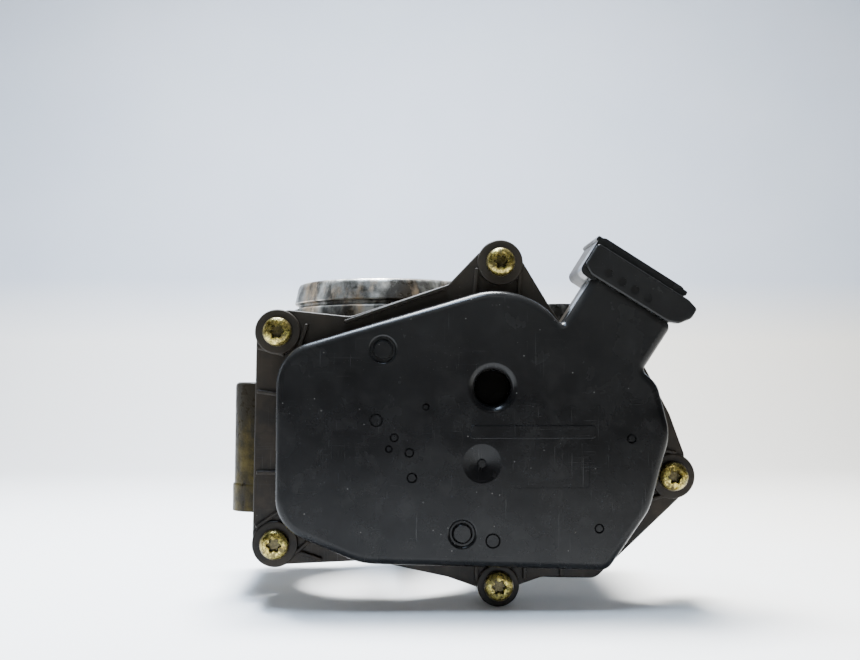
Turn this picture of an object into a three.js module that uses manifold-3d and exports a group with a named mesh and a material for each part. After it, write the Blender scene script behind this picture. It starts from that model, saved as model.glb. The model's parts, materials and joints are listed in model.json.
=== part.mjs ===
// An electrically driven throttle body, in millimetres.
// The origin is on the bore axis in the manifold mounting face. +Z runs up the bore to the snout, the
// throttle shaft runs along Y and the gear cover faces -Y. Outlines are drawn as (x, z) and given a
// thickness along Y.
import * as THREE from 'three';
import { mergeVertices } from 'three/addons/utils/BufferGeometryUtils.js';
import Module from 'manifold-3d';

const wasm = await Module();
wasm.setup();

// Driving dimensions: bore and barrel
const BORE_RADIUS = 23;
const BARREL_TOP = 66.6;
const BARREL_RADIUS = 28;
const FOOT_RADIUS = 31;
const SNOUT_RADIUS = BARREL_RADIUS + 1;
const BASE_THICKNESS = 8;
const BASE_MARGIN = 0.5;
const BASE_CORNER_RADIUS = 8;
const COLUMN_HEIGHT = 36.6;
const COLUMN_RADIUS = 7;
const COLUMN_HOLE_RADIUS = 3.4;
const COLUMNS = [[-36.5, -21], [-36.5, 21], [30.5, -21], [30.5, 21]];
const SEAL_GROOVE = { inner: 24.6, outer: 27.4, depth: 2.2 };

// Levels along Y, from the housing outwards to the front of the cover. Cutters reach past a face by CLEAR.
const CLEAR = 1;
const CASE_BACK = -27.5;
const CASE_FLOOR = -30.5;
const PARTING = -35;
const COVER_BACK = -35.7;
const FLANGE_FRONT = -39.5;
const BOSS_FRONT = -41;
const DOME_FRONT = -49;
const COVER_WALL = 2.2;
const DOME_ROUNDING = 2;
const RIB_WIDTH = 3;
const FLANGE_RIB_WIDTH = 1.1;
const HOUSING_FLANGE_THICKNESS = 3.5;

// Shaft, gears and motor
const SHAFT_AXIS = [0, 23.2];
const SHAFT_RADIUS = 4;
const SHAFT_REAR = 32.5;
const SHAFT_FRONT = -40.8;
const BEARING_RADIUS = 6;
const BEARING_HOLE_RADIUS = 4.1;
const BEARING_OUTER_RADIUS = BEARING_RADIUS - 0.05;
const REAR_BOSS_RADIUS = 10;
const REAR_BOSS_END = 38;
const PLATE_RADIUS = 22.8;
const PLATE_THICKNESS = 2;
const PLATE_SCREW_OFFSET = 9;
const PLATE_SCREW_HOLE_RADIUS = 1.65;
const SECTOR = { module: 1, teeth: 50, shift: -0.4 };
const SECTOR_FIRST_TOOTH = -2;
const SECTOR_LAST_TOOTH = 13;
const SMALL_GEAR = { module: 1, teeth: 12, shift: 0.4 };
const LARGE_GEAR = { module: 0.7, teeth: 60, shift: -0.4 };
const PINION = { module: 0.7, teeth: 11, shift: 0.4 };
const PRESSURE_ANGLE = radians(20);
const BACKLASH = 0.09;
const INTERMEDIATE_BEARING = radians(22.35);
const MOTOR_BEARING = radians(-34.5);
const INTERMEDIATE_AXIS = polar(SHAFT_AXIS, centreDistance(SECTOR, SMALL_GEAR), INTERMEDIATE_BEARING);
const MOTOR_AXIS = polar(INTERMEDIATE_AXIS, centreDistance(LARGE_GEAR, PINION), MOTOR_BEARING);
const MOTOR_RADIUS = 13.5;
const MOTOR_REAR = 13;
const MOTOR_SHAFT_RADIUS = 1.2;
const MOTOR_SHAFT_HOLE_RADIUS = 1.25;
const MOTOR_PLATE_BACK = -30.7;
const MOTOR_PLATE_FRONT = -32.3;
const MOTOR_BUSH_RADIUS = 3.05;
const MOTOR_SCREW_REACH = 17.4;
const MOTOR_SCREW_BEARING = radians(60);
const MOTOR_SCREW_HOLE_RADIUS = 1.7;
const MOTOR_EAR_RADIUS = 3.6;

// Bearing seats, spring well and the gears' levels along Y
const FRONT_BEARING_SEAT = -24.8;
const REAR_BEARING_SEAT = 25;
const SPRING_WELL = { inner: 7.8, outer: 12.6, floor: -28.4 };
const PIN_RADIUS = 2;
const PIN_BACK = -28.3;
const PIN_FRONT = -41.3;
const SECTOR_LEVELS = [-35, -39.4];
const LARGE_GEAR_LEVELS = [-40, -45];
const SMALL_GEAR_LEVELS = [-34.2, -40.1];
const PINION_LEVELS = [-39.8, -45.2];

// Cover screws: [x, z, boss radius]
const COVER_SCREWS = [
  [-29.4, 50.2, 6.2],
  [31.6, 69.5, 6.3],
  [78.8, 10.8, 6.2],
  [30.7, -18.5, 5.7],
  [-29.7, -7.1, 6.2],
];
const COVER_SCREW_HEAD = 4;
const COVER_SCREW_SHANK = 1.9;
const COVER_SCREW_TIP = -24;

// Outlines as corners [x, z, rounding radius], anticlockwise
const FLANGE_CORNERS = [
  [-35.9, -8, 1],
  [-31, -12.9, 1],
  [-4, -11.8, 6],
  [17, -16.4, 6],
  [30, -21, 2],
  [42.5, -16.6, 3],
  [57.5, -17, 4],
  [81.3, 5, 3],
  [82.6, 16.6, 3],
  [78.6, 27.8, 6],
  [71.4, 41.6, 3],
  [58, 52, 2],
  [49.5, 51.5, 1],
  [45.6, 57.2, 1],
  [37, 71.6, 2.5],
  [31.6, 73, 3],
  [26, 72.6, 2],
  [17.4, 63.6, 2],
  [-9.6, 54.6, 6],
  [-27, 56.4, 2],
  [-35.3, 51, 2],
];
const NOTCH_CORNERS = [[58, 52, 1], [51.5, 48, 1], [43, 58.2, 1], [50.6, 58.4, 2], [56, 58.2, 2]];
const DOME_CORNERS = [
  [-29, -1.6, 11],
  [-6.5, -11.4, 20],
  [59.2, -13.6, 4],
  [70.8, 2.5, 14],
  [76.6, 22.5, 14],
  [73.2, 36, 7],
  [69.2, 39.6, 1.5],
  [77.6, 52.2, 2.3],
  [56.3, 65.6, 2.3],
  [47.4, 51.9, 1],
  [37.3, 64.3, 21.5],
  [-29, 44.4, 11.6],
];
const CASE_CORNERS = [
  [-29, -1.6, 11],
  [-6.5, -11.4, 20],
  [58.3, -13.6, 4],
  [69.3, 5.5, 25],
  [75, 26.5, 8],
  [60, 46, 8],
  [37.3, 64.3, 23.9],
  [-29, 44.4, 11.6],
];
const CAVITY_INSET = 2.6;
const POCKET_RADIUS = 4.8;
const POCKET_FLOOR = -43.4;
const ARC_STEP = radians(15);

// Connector hood: u runs along its long side and v along the neck, both from HOOD_CENTRE
const HOOD_CENTRE = [66.5, 62];
const HOOD_TILT = radians(32.4);
const HOOD_BACK = -27.5;
const HOOD_FRONT = -50.2;
const HOOD_RIM = 7.5;
const HOOD_FLOOR = -1.5;
const HOOD_LEFT = -14.5;
const HOOD_RIGHT = 13;
const HOOD_LOW = -4.2;
const HOOD_WALL = 2.1;
const TERMINAL_PITCH = 3.6;
const TERMINAL_COUNT = 5;
const TERMINAL_MIDDLE = 2;
const TERMINAL_LEVEL = -41;
const TERMINAL_SIZE = 0.64;
const TERMINAL_SLOT = 0.9;

const MATERIALS = {
  aluminium: material(0x8d8a80, 0.55, 0.85),
  plastic: material(0x1d1e20, 0.5, 0),
  rubber: material(0x101010, 0.85, 0),
  zinc: material(0xc9b35a, 0.35, 0.9),
  steel: material(0x9a9ca0, 0.3, 0.95),
  brass: material(0xb48a3c, 0.4, 0.9),
  gear: material(0x5b4636, 0.55, 0),
  magnet: material(0x3a3c40, 0.5, 0.6),
  copper: material(0xa8643a, 0.4, 0.9),
  board: material(0x1f5a34, 0.5, 0.1),
  carbon: material(0x242424, 0.7, 0.1),
  tin: material(0xc8c8c4, 0.35, 0.9),
};

function radians(degrees) {
  return (degrees * Math.PI) / 180;
}

function material(color, roughness, metalness) {
  return new THREE.MeshStandardMaterial({ color, roughness, metalness });
}

function polar([x, z], reach, bearing) {
  return [x + reach * Math.cos(bearing), z + reach * Math.sin(bearing)];
}

function pitchRadius(gear) {
  return (gear.module * gear.teeth) / 2;
}

function centreDistance(first, second) {
  return pitchRadius(first) + pitchRadius(second);
}

// A closed three.js geometry as a solid that can be joined and cut. Triangles that shrink to a line
// where a turned profile meets its axis are left out.
function solid(geometry) {
  geometry.deleteAttribute('normal');
  geometry.deleteAttribute('uv');
  const merged = mergeVertices(geometry, 1e-4);
  const corners = merged.index.array;
  const triangles = [];
  for (let i = 0; i < corners.length; i += 3) {
    const [a, b, c] = corners.slice(i, i + 3);
    if (a !== b && b !== c && c !== a) {
      triangles.push(a, b, c);
    }
  }
  return new wasm.Manifold(
    new wasm.Mesh({
      numProp: 3,
      vertProperties: new Float32Array(merged.attributes.position.array),
      triVerts: new Uint32Array(triangles),
    }),
  );
}

function joined(pieces) {
  return pieces.reduce((whole, piece) => whole.add(piece));
}

function cut(body, tools) {
  return body.subtract(joined(tools));
}

// A finished part as a named mesh.
function part(name, body, finish) {
  const { vertProperties, triVerts } = body.getMesh();
  const geometry = new THREE.BufferGeometry();
  geometry.setAttribute('position', new THREE.BufferAttribute(vertProperties, 3));
  geometry.setIndex(new THREE.BufferAttribute(triVerts, 1));
  geometry.computeVertexNormals();
  const mesh = new THREE.Mesh(geometry, finish);
  mesh.name = name;
  return mesh;
}

// An outline's points: its corners moved inwards by inset and rounded with arcs.
function rounded(corners, inset = 0) {
  const count = corners.length;
  const points = corners.map(([x, z]) => new THREE.Vector2(x, z));
  const ways = points.map((point, i) => points[(i + 1) % count].clone().sub(point).normalize());
  return corners.flatMap(([, , radius], i) => {
    const before = ways[(i + count - 1) % count];
    const after = ways[i];
    const turn = Math.atan2(before.cross(after), before.dot(after));
    const side = Math.sign(turn);
    const inwards = new THREE.Vector2(-before.y - after.y, before.x + after.x).normalize();
    const arc = Math.max(radius - side * inset, 0.1);
    const reach = (inset + side * arc) / Math.cos(turn / 2);
    const centre = points[i].clone().addScaledVector(inwards, reach);
    const start = Math.atan2(-side * before.x, side * before.y);
    const steps = Math.max(1, Math.ceil(Math.abs(turn) / ARC_STEP));
    return Array.from({ length: steps + 1 }, (_, step) => {
      const [x, z] = polar([centre.x, centre.y], arc, start + (turn * step) / steps);
      return new THREE.Vector2(x, z);
    });
  });
}

// A plate with a given outline from y = back to y = front, where front is the lower. A bevel rounds it.
function plate(points, back, front, bevel = 0) {
  const geometry = new THREE.ExtrudeGeometry(new THREE.Shape(points), {
    depth: back - front - 2 * bevel,
    bevelEnabled: bevel > 0,
    bevelThickness: bevel,
    bevelSize: bevel,
    bevelOffset: -bevel,
    bevelSegments: 2,
  });
  geometry.rotateX(Math.PI / 2);
  geometry.translate(0, back - bevel, 0);
  return solid(geometry);
}

// A profile of [radius, level] that ends on the axis, or is closed on itself.
function profilePoints(profile) {
  const closed = profile[0][0] > 0 ? [...profile, profile[0]] : profile;
  return closed.map(([radius, level]) => new THREE.Vector2(radius, level));
}

// A body turned about the line along Y through (x, z), from an outline of [radius, y].
function turned(profile, [x, z], segments) {
  const geometry = new THREE.LatheGeometry(profilePoints(profile), segments);
  geometry.translate(x, 0, z);
  return solid(geometry);
}

// A body turned about the upright line through (x, y), from an outline of [radius, z].
function turnedUp(profile, segments, x = 0, y = 0) {
  const geometry = new THREE.LatheGeometry(profilePoints(profile), segments);
  geometry.rotateX(Math.PI / 2);
  geometry.translate(x, y, 0);
  return solid(geometry);
}

// A round bar along Y between two levels.
function bar(radius, back, front, [x, z], segments = 24) {
  const geometry = new THREE.CylinderGeometry(radius, radius, back - front, segments);
  geometry.translate(x, (back + front) / 2, z);
  return solid(geometry);
}

// A ring along Y between two levels.
function ring(inner, outer, back, front, axis, segments = 24) {
  const profile = [[inner, front], [outer, front], [outer, back], [inner, back]];
  return turned(profile, axis, segments);
}

function block(width, depth, height, x, y, z) {
  const geometry = new THREE.BoxGeometry(width, depth, height);
  geometry.translate(x, y, z);
  return solid(geometry);
}

// A straight wall between two points of the outline plane.
function wall([startX, startZ], [endX, endZ], width, back, front) {
  const length = Math.hypot(endX - startX, endZ - startZ);
  const geometry = new THREE.BoxGeometry(length, back - front, width);
  geometry.rotateY(-Math.atan2(endZ - startZ, endX - startX));
  geometry.translate((startX + endX) / 2, (back + front) / 2, (startZ + endZ) / 2);
  return solid(geometry);
}

// Gear teeth

function involute(angle) {
  return Math.tan(angle) - angle;
}

// Half the angle that a tooth fills at a radius.
function halfTooth(gear, radius) {
  const pitch = pitchRadius(gear);
  const slope = Math.acos(Math.min(1, (pitch * Math.cos(PRESSURE_ANGLE)) / radius));
  const width = (Math.PI / 2 + 2 * gear.shift * Math.tan(PRESSURE_ANGLE)) / gear.teeth;
  return width + involute(PRESSURE_ANGLE) - involute(slope) - BACKLASH / (2 * pitch);
}

// The outline of one tooth about an axis, from its root on one side to its root on the other.
function tooth(gear, axis, middle) {
  const pitch = pitchRadius(gear);
  const tip = pitch + gear.module * (1 + gear.shift);
  const root = pitch - gear.module * (1.25 - gear.shift);
  const base = Math.max(pitch * Math.cos(PRESSURE_ANGLE), root);
  const heights = gear.teeth > 50 ? [base, tip] : [base, (base + tip) / 2, tip];
  const flank = heights.map((radius) => [radius, halfTooth(gear, radius)]);
  if (base > root) {
    flank.unshift([root, halfTooth(gear, base)]);
  }
  const rising = flank.map(([radius, half]) => polar(axis, radius, middle - half));
  const falling = flank.map(([radius, half]) => polar(axis, radius, middle + half)).reverse();
  return [...rising, ...falling].map(([x, z]) => new THREE.Vector2(x, z));
}

// The outline of teeth first to last. A gap between teeth 0 and -1 is centred on the bearing.
function teeth(gear, axis, bearing, first, last) {
  const pitch = (2 * Math.PI) / gear.teeth;
  const numbers = Array.from({ length: last - first + 1 }, (_, i) => first + i + 0.5);
  return numbers.flatMap((number) => tooth(gear, axis, bearing + number * pitch));
}

// A whole gear whose gap, or whose tooth, points along the bearing.
function wheel(gear, axis, bearing, toothFirst, back, front) {
  const offset = toothFirst ? Math.PI / gear.teeth : 0;
  return plate(teeth(gear, axis, bearing + offset, 0, gear.teeth - 1), back, front);
}

// Housing

// The barrel's outline as [radius, z]: a foot, the plain barrel, and the snout's collar, groove and taper.
function barrelProfile() {
  return [
    [0, 0],
    [FOOT_RADIUS, 0],
    [FOOT_RADIUS, BASE_THICKNESS],
    [BARREL_RADIUS + 0.6, BASE_THICKNESS + 2],
    [BARREL_RADIUS, BASE_THICKNESS + 6],
    [BARREL_RADIUS, BARREL_TOP - 13.6],
    [SNOUT_RADIUS, BARREL_TOP - 11.6],
    [SNOUT_RADIUS, BARREL_TOP - 8],
    [SNOUT_RADIUS - 1.8, BARREL_TOP - 7.2],
    [SNOUT_RADIUS - 1.8, BARREL_TOP - 6.4],
    [SNOUT_RADIUS - 0.7, BARREL_TOP - 6],
    [SNOUT_RADIUS - 1.7, BARREL_TOP - 0.9],
    [SNOUT_RADIUS - 2.5, BARREL_TOP],
    [0, BARREL_TOP],
  ];
}

function basePlate() {
  const reach = COLUMN_RADIUS + BASE_MARGIN;
  const corners = COLUMNS.map(([x, y]) => [
    x + Math.sign(x) * reach,
    y + Math.sign(y) * reach,
    BASE_CORNER_RADIUS,
  ]);
  const [frontLeft, backLeft, frontRight, backRight] = corners;
  const geometry = new THREE.ExtrudeGeometry(
    new THREE.Shape(rounded([frontLeft, frontRight, backRight, backLeft])),
    { depth: BASE_THICKNESS, bevelEnabled: false },
  );
  return solid(geometry);
}

function column([x, y]) {
  const chamfer = 0.8;
  const profile = [
    [0, 0],
    [COLUMN_RADIUS, 0],
    [COLUMN_RADIUS, COLUMN_HEIGHT - chamfer],
    [COLUMN_RADIUS - chamfer, COLUMN_HEIGHT],
    [0, COLUMN_HEIGHT],
  ];
  return turnedUp(profile, 16, x, y);
}

function housingCastings() {
  const [x, z] = MOTOR_AXIS;
  const pocketWall = 3;
  const postRadius = 5.2;
  const postBack = -22;
  const screwPosts = COVER_SCREWS.map(([sx, sz]) => bar(postRadius, postBack, PARTING, [sx, sz], 14));
  return joined([
    turnedUp(barrelProfile(), 48),
    basePlate(),
    ...COLUMNS.map(column),
    plate(rounded(CASE_CORNERS, -0.8), CASE_BACK, PARTING),
    plate(rounded(NOTCH_CORNERS), CASE_BACK - CLEAR, PARTING),
    plate(rounded(FLANGE_CORNERS, 0.4), PARTING + HOUSING_FLANGE_THICKNESS, PARTING),
    bar(MOTOR_RADIUS + pocketWall, MOTOR_REAR + 7, CASE_BACK - CLEAR, MOTOR_AXIS, 30),
    block(18, 30, 14, x - 18, -12, z),
    block(26, 24, RIB_WIDTH, x - 16, -15, BASE_THICKNESS / 2),
    bar(REAR_BOSS_RADIUS, REAR_BOSS_END, 20, SHAFT_AXIS, 24),
    ...screwPosts,
    ...housingRibs(),
  ]);
}

// Stiffening ribs between the gear case, the barrel and the bolt columns.
function housingRibs() {
  const height = COLUMN_HEIGHT - 6;
  const inwards = COLUMN_RADIUS + 1;
  const across = COLUMNS.map(([x, y]) =>
    block(14, RIB_WIDTH, height, x - Math.sign(x) * inwards, y * 0.98, height / 2),
  );
  return [
    ...across,
    block(RIB_WIDTH, 12, 26, -18, -25, 40),
    block(RIB_WIDTH, 12, 26, 18, -25, 40),
    block(RIB_WIDTH, 12, 10, SHAFT_AXIS[0], 31, SHAFT_AXIS[1] - 12),
  ];
}

function housingCuts() {
  const shaftHole = SHAFT_RADIUS + 0.25;
  const bore = [
    [0, -CLEAR],
    [BORE_RADIUS, -CLEAR],
    [BORE_RADIUS, BARREL_TOP - 4],
    [BORE_RADIUS + 1, BARREL_TOP - 1],
    [BORE_RADIUS + 1.3, BARREL_TOP + CLEAR],
    [0, BARREL_TOP + CLEAR],
  ];
  const { inner, outer, depth } = SEAL_GROOVE;
  const holeTop = BARREL_TOP;
  const hole = [[0, -CLEAR], [COLUMN_HOLE_RADIUS, -CLEAR], [COLUMN_HOLE_RADIUS, holeTop], [0, holeTop]];
  return [
    turnedUp(bore, 48),
    turnedUp([[inner, -CLEAR], [outer, -CLEAR], [outer, depth], [inner, depth]], 48),
    ...COLUMNS.map(([x, y]) => turnedUp(hole, 12, x, y)),
    ring(SPRING_WELL.inner, SPRING_WELL.outer, SPRING_WELL.floor, CASE_FLOOR - 0.1, SHAFT_AXIS, 24),
    bar(shaftHole, 30, -30, SHAFT_AXIS),
    bar(BEARING_RADIUS, FRONT_BEARING_SEAT, PARTING, SHAFT_AXIS),
    bar(BEARING_RADIUS, REAR_BOSS_END + CLEAR, REAR_BEARING_SEAT, SHAFT_AXIS),
    bar(MOTOR_RADIUS + 0.3, MOTOR_REAR + 4, CASE_FLOOR - CLEAR, MOTOR_AXIS, 30),
    bar(PIN_RADIUS + 0.12, PIN_BACK + 0.1, PARTING, INTERMEDIATE_AXIS, 16),
    ...motorScrewAxes().map((axis) => bar(MOTOR_SCREW_HOLE_RADIUS, -22.5, CASE_FLOOR - CLEAR, axis, 10)),
    ...COVER_SCREWS.map(([x, z]) => {
      return bar(COVER_SCREW_SHANK + 0.15, COVER_SCREW_TIP + 0.6, PARTING - CLEAR, [x, z], 10);
    }),
  ];
}

function throttleHousing() {
  const cavity = plate(rounded(CASE_CORNERS, CAVITY_INSET), CASE_FLOOR, PARTING - CLEAR);
  const motorPosts = motorScrewAxes().map((axis) => bar(MOTOR_EAR_RADIUS, -21.5, CASE_FLOOR, axis, 12));
  const bosses = [
    bar(SPRING_WELL.inner - 0.2, CASE_FLOOR + CLEAR, -33.5, SHAFT_AXIS, 24),
    bar(5, CASE_FLOOR + CLEAR, -33.8, INTERMEDIATE_AXIS, 16),
  ];
  const casting = joined([cut(housingCastings(), [cavity]), ...bosses, ...motorPosts]);
  return part('throttle_housing', cut(casting, housingCuts()), MATERIALS.aluminium);
}

// Cover

// A point of the outline plane, from its place along and across the connector hood.
function onHood([u, v]) {
  const [x, z] = polar(HOOD_CENTRE, u, -HOOD_TILT);
  return polar([x, z], v, Math.PI / 2 - HOOD_TILT);
}

function hoodBlock(left, right, low, high, back, front, radius = 0.6) {
  const corners = [[left, low], [right, low], [right, high], [left, high]];
  return plate(rounded(corners.map((corner) => [...onHood(corner), radius])), back, front);
}

function hoodPlate() {
  const corners = [
    [-11.4, -3.4, 1.6],
    [12.6, -3.1, 1],
    [15.6, -1.8, 2],
    [17.7, 1.2, 2],
    [17.7, 4.2, 1],
    [14.4, 5.1, 1],
    [-14.2, 5, 0.8],
    [-14.2, -1.8, 2],
  ];
  const outline = corners.map(([u, v, radius]) => [...onHood([u, v]), radius]);
  return plate(rounded(outline), HOOD_FRONT + 3, HOOD_FRONT);
}

// The hood: a faced plate in front, the block around the mouth, and a collar just below its rim.
function connectorHood() {
  const collar = 0.6;
  return [
    hoodPlate(),
    hoodBlock(HOOD_LEFT, HOOD_RIGHT, HOOD_LOW, HOOD_RIM, HOOD_BACK, HOOD_FRONT + 2, 2),
    hoodBlock(
      HOOD_LEFT - collar,
      HOOD_RIGHT + collar,
      HOOD_RIM - 1.7,
      HOOD_RIM - 0.2,
      HOOD_BACK + 0.4,
      HOOD_FRONT + 2.5,
      0.5,
    ),
  ];
}

function flangeRibs() {
  const ribs = [
    [[-11.3, 52.9], [16.7, 62.6]],
    [[-34.9, -2.6], [-27.5, 2.4]],
    [[-27.5, -12.4], [-20.5, -6.4]],
    [[-23, -9.4], [-17.2, -11.4]],
    [[-21.5, 52.4], [-24, 44]],
    [[25.2, 68], [24.4, 58]],
    [[37.2, 67], [36.6, 58]],
    [[24.8, -17.4], [24.8, -10]],
    [[38, -17], [38, -10]],
    [[71, 19.4], [80, 17]],
    [[64, 2], [77, 5.6]],
    [[48, -16.2], [48, -10]],
    [[-34.9, 46], [-27.5, 44]],
    [[-34.9, 34], [-28, 33]],
    [[-34.9, 12], [-28, 12]],
    [[6, -13], [6, -9]],
  ];
  return ribs.map(([start, end]) => {
    return wall(start, end, FLANGE_RIB_WIDTH, COVER_BACK - CLEAR, FLANGE_FRONT - 1.2);
  });
}

// Shallow marks on the front of the dome: grooved bosses, a gate mark and ejector marks.
function domeMarks() {
  const above = DOME_FRONT - CLEAR;
  const bossAxes = [[-0.65, 45.1], [20.4, -3.5]];
  const grooved = bossAxes.map((axis) => ring(2.5, 3.6, DOME_FRONT + 0.5, above, axis, 16));
  const ejectorMarks = [[28.5, -5.4, 2], [-2.4, 26.4, 1.8], [7.1, 11.2, 1.4], [6.4, 17.8, 1.3]];
  const ejectors = ejectorMarks.map(([x, z, radius]) => bar(radius, DOME_FRONT + 0.25, above, [x, z], 8));
  const gateProfile = [
    [0, above],
    [5.2, above],
    [5.2, DOME_FRONT + 0.4],
    [0.9, DOME_FRONT - 0.2],
    [0, DOME_FRONT + 0.6],
  ];
  return [...grooved, ...ejectors, turned(gateProfile, [25.7, 14.9], 16)];
}

function coverCavities() {
  const flangeLevel = plate(rounded(CASE_CORNERS, CAVITY_INSET), COVER_BACK + CLEAR, FLANGE_FRONT - CLEAR);
  const domeLevel = plate(rounded(DOME_CORNERS, COVER_WALL), FLANGE_FRONT + 0.5, DOME_FRONT + COVER_WALL);
  const mouth = hoodBlock(
    HOOD_LEFT + HOOD_WALL,
    HOOD_RIGHT - HOOD_WALL,
    HOOD_FLOOR,
    HOOD_RIM + CLEAR,
    HOOD_BACK - HOOD_WALL,
    HOOD_FRONT + 2 * HOOD_WALL,
    1,
  );
  const slots = terminalPlaces().map((u) => terminalBlock(u, TERMINAL_SLOT, -9, 0));
  return [flangeLevel, domeLevel, mouth, ...slots];
}

// A square bar of a given size along the neck, at one terminal's place.
function terminalBlock(u, size, low, high) {
  const half = size / 2;
  return hoodBlock(u - half, u + half, low, high, TERMINAL_LEVEL + half, TERMINAL_LEVEL - half, 0.1);
}

function terminalPlaces() {
  const half = (TERMINAL_COUNT - 1) / 2;
  return Array.from({ length: TERMINAL_COUNT }, (_, i) => TERMINAL_MIDDLE + (i - half) * TERMINAL_PITCH);
}

function gearCover() {
  const bossBack = COVER_BACK - 0.15;
  const bosses = COVER_SCREWS.map(([x, z, radius]) => bar(radius, bossBack, BOSS_FRONT, [x, z], 20));
  const outer = joined([
    plate(rounded(FLANGE_CORNERS), COVER_BACK, FLANGE_FRONT),
    plate(rounded(DOME_CORNERS), COVER_BACK - 0.6, DOME_FRONT, DOME_ROUNDING),
    ...bosses,
    ...flangeRibs(),
    ...connectorHood(),
  ]);
  const post = bar(6.3, -41.9, DOME_FRONT + 1, INTERMEDIATE_AXIS, 20);
  const shell = joined([cut(outer, coverCavities()), post]);
  const screwHoles = COVER_SCREWS.map(([x, z]) => {
    return bar(COVER_SCREW_SHANK + 0.4, COVER_BACK + CLEAR, BOSS_FRONT - CLEAR, [x, z], 12);
  });
  const pocketProfile = [
    [0, DOME_FRONT - CLEAR],
    [POCKET_RADIUS + 1.8, DOME_FRONT - CLEAR],
    [POCKET_RADIUS + 1.8, DOME_FRONT],
    [POCKET_RADIUS, DOME_FRONT + 1.4],
    [POCKET_RADIUS, POCKET_FLOOR],
    [0, POCKET_FLOOR],
  ];
  const pocket = turned(pocketProfile, INTERMEDIATE_AXIS, 20);
  return part('gear_cover', cut(shell, [...screwHoles, pocket, ...domeMarks()]), MATERIALS.plastic);
}

function coverGasket() {
  const gap = 0.05;
  const holeRadius = COVER_SCREW_SHANK + 0.7;
  const body = cut(plate(rounded(FLANGE_CORNERS, 0.9), PARTING - gap, COVER_BACK + gap), [
    plate(rounded(CASE_CORNERS, CAVITY_INSET + 0.3), PARTING + CLEAR, COVER_BACK - CLEAR),
    ...COVER_SCREWS.map(([x, z]) => bar(holeRadius, PARTING + CLEAR, COVER_BACK - CLEAR, [x, z], 16)),
  ]);
  return part('cover_gasket', body, MATERIALS.rubber);
}

// A pan-head screw with a six-lobe recess.
function coverScrew([x, z], number) {
  const head = BOSS_FRONT - 0.05;
  const profile = [
    [0, COVER_SCREW_TIP],
    [COVER_SCREW_SHANK - 0.4, COVER_SCREW_TIP],
    [COVER_SCREW_SHANK, COVER_SCREW_TIP - 0.8],
    [COVER_SCREW_SHANK, head],
    [COVER_SCREW_HEAD, head],
    [COVER_SCREW_HEAD, head - 1.5],
    [COVER_SCREW_HEAD - 0.5, head - 2.3],
    [COVER_SCREW_HEAD - 1.4, head - 2.7],
    [0, head - 2.8],
  ].reverse();
  const lobes = Array.from({ length: 24 }, (_, i) => {
    const angle = (i * Math.PI) / 12;
    const [lx, lz] = polar([x, z], 1.65 + 0.28 * Math.cos(6 * angle), angle);
    return new THREE.Vector2(lx, lz);
  });
  const recess = plate(lobes, head - 1, head - 4);
  return part(`cover_screw_${number + 1}`, cut(turned(profile, [x, z], 16), [recess]), MATERIALS.zinc);
}

// Throttle

function throttleShaft() {
  const slot = PLATE_THICKNESS + 0.1;
  const [x, z] = SHAFT_AXIS;
  const cuts = [
    block(slot, 2 * PLATE_RADIUS + 0.6, 12, x, 0, z),
    ...[-1, 1].map((side) => plateScrewHole(PLATE_SCREW_HOLE_RADIUS, side, -9, 9)),
    ...[-1, 1].map((side) => block(2, 7, 12, x + 4.2, side * PLATE_SCREW_OFFSET, z)),
  ];
  const rod = bar(SHAFT_RADIUS, SHAFT_REAR, SHAFT_FRONT, SHAFT_AXIS, 32);
  return part('throttle_shaft', cut(rod, cuts), MATERIALS.steel);
}

// A round cutter along X at one of the two places where a screw holds the plate.
function plateScrewHole(radius, side, start, end) {
  const geometry = new THREE.CylinderGeometry(radius, radius, end - start, 16);
  geometry.rotateZ(Math.PI / 2);
  geometry.translate((start + end) / 2, side * PLATE_SCREW_OFFSET, SHAFT_AXIS[1]);
  return solid(geometry);
}

function throttlePlate() {
  const geometry = new THREE.CylinderGeometry(PLATE_RADIUS, PLATE_RADIUS, PLATE_THICKNESS, 48);
  geometry.rotateZ(Math.PI / 2);
  geometry.translate(SHAFT_AXIS[0], 0, SHAFT_AXIS[1]);
  const holes = [-1, 1].map((side) => plateScrewHole(PLATE_SCREW_HOLE_RADIUS, side, -9, 9));
  return part('throttle_plate', cut(solid(geometry), holes), MATERIALS.brass);
}

function plateScrew(side, number) {
  const shank = plateScrewHole(1.5, side, -3.2, 3.6);
  const head = plateScrewHole(2.6, side, 3.25, 4.6);
  const slot = block(1, 0.7, 6, 4.6, side * PLATE_SCREW_OFFSET, SHAFT_AXIS[1]);
  return part(`plate_screw_${number}`, cut(joined([shank, head]), [slot]), MATERIALS.zinc);
}

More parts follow.
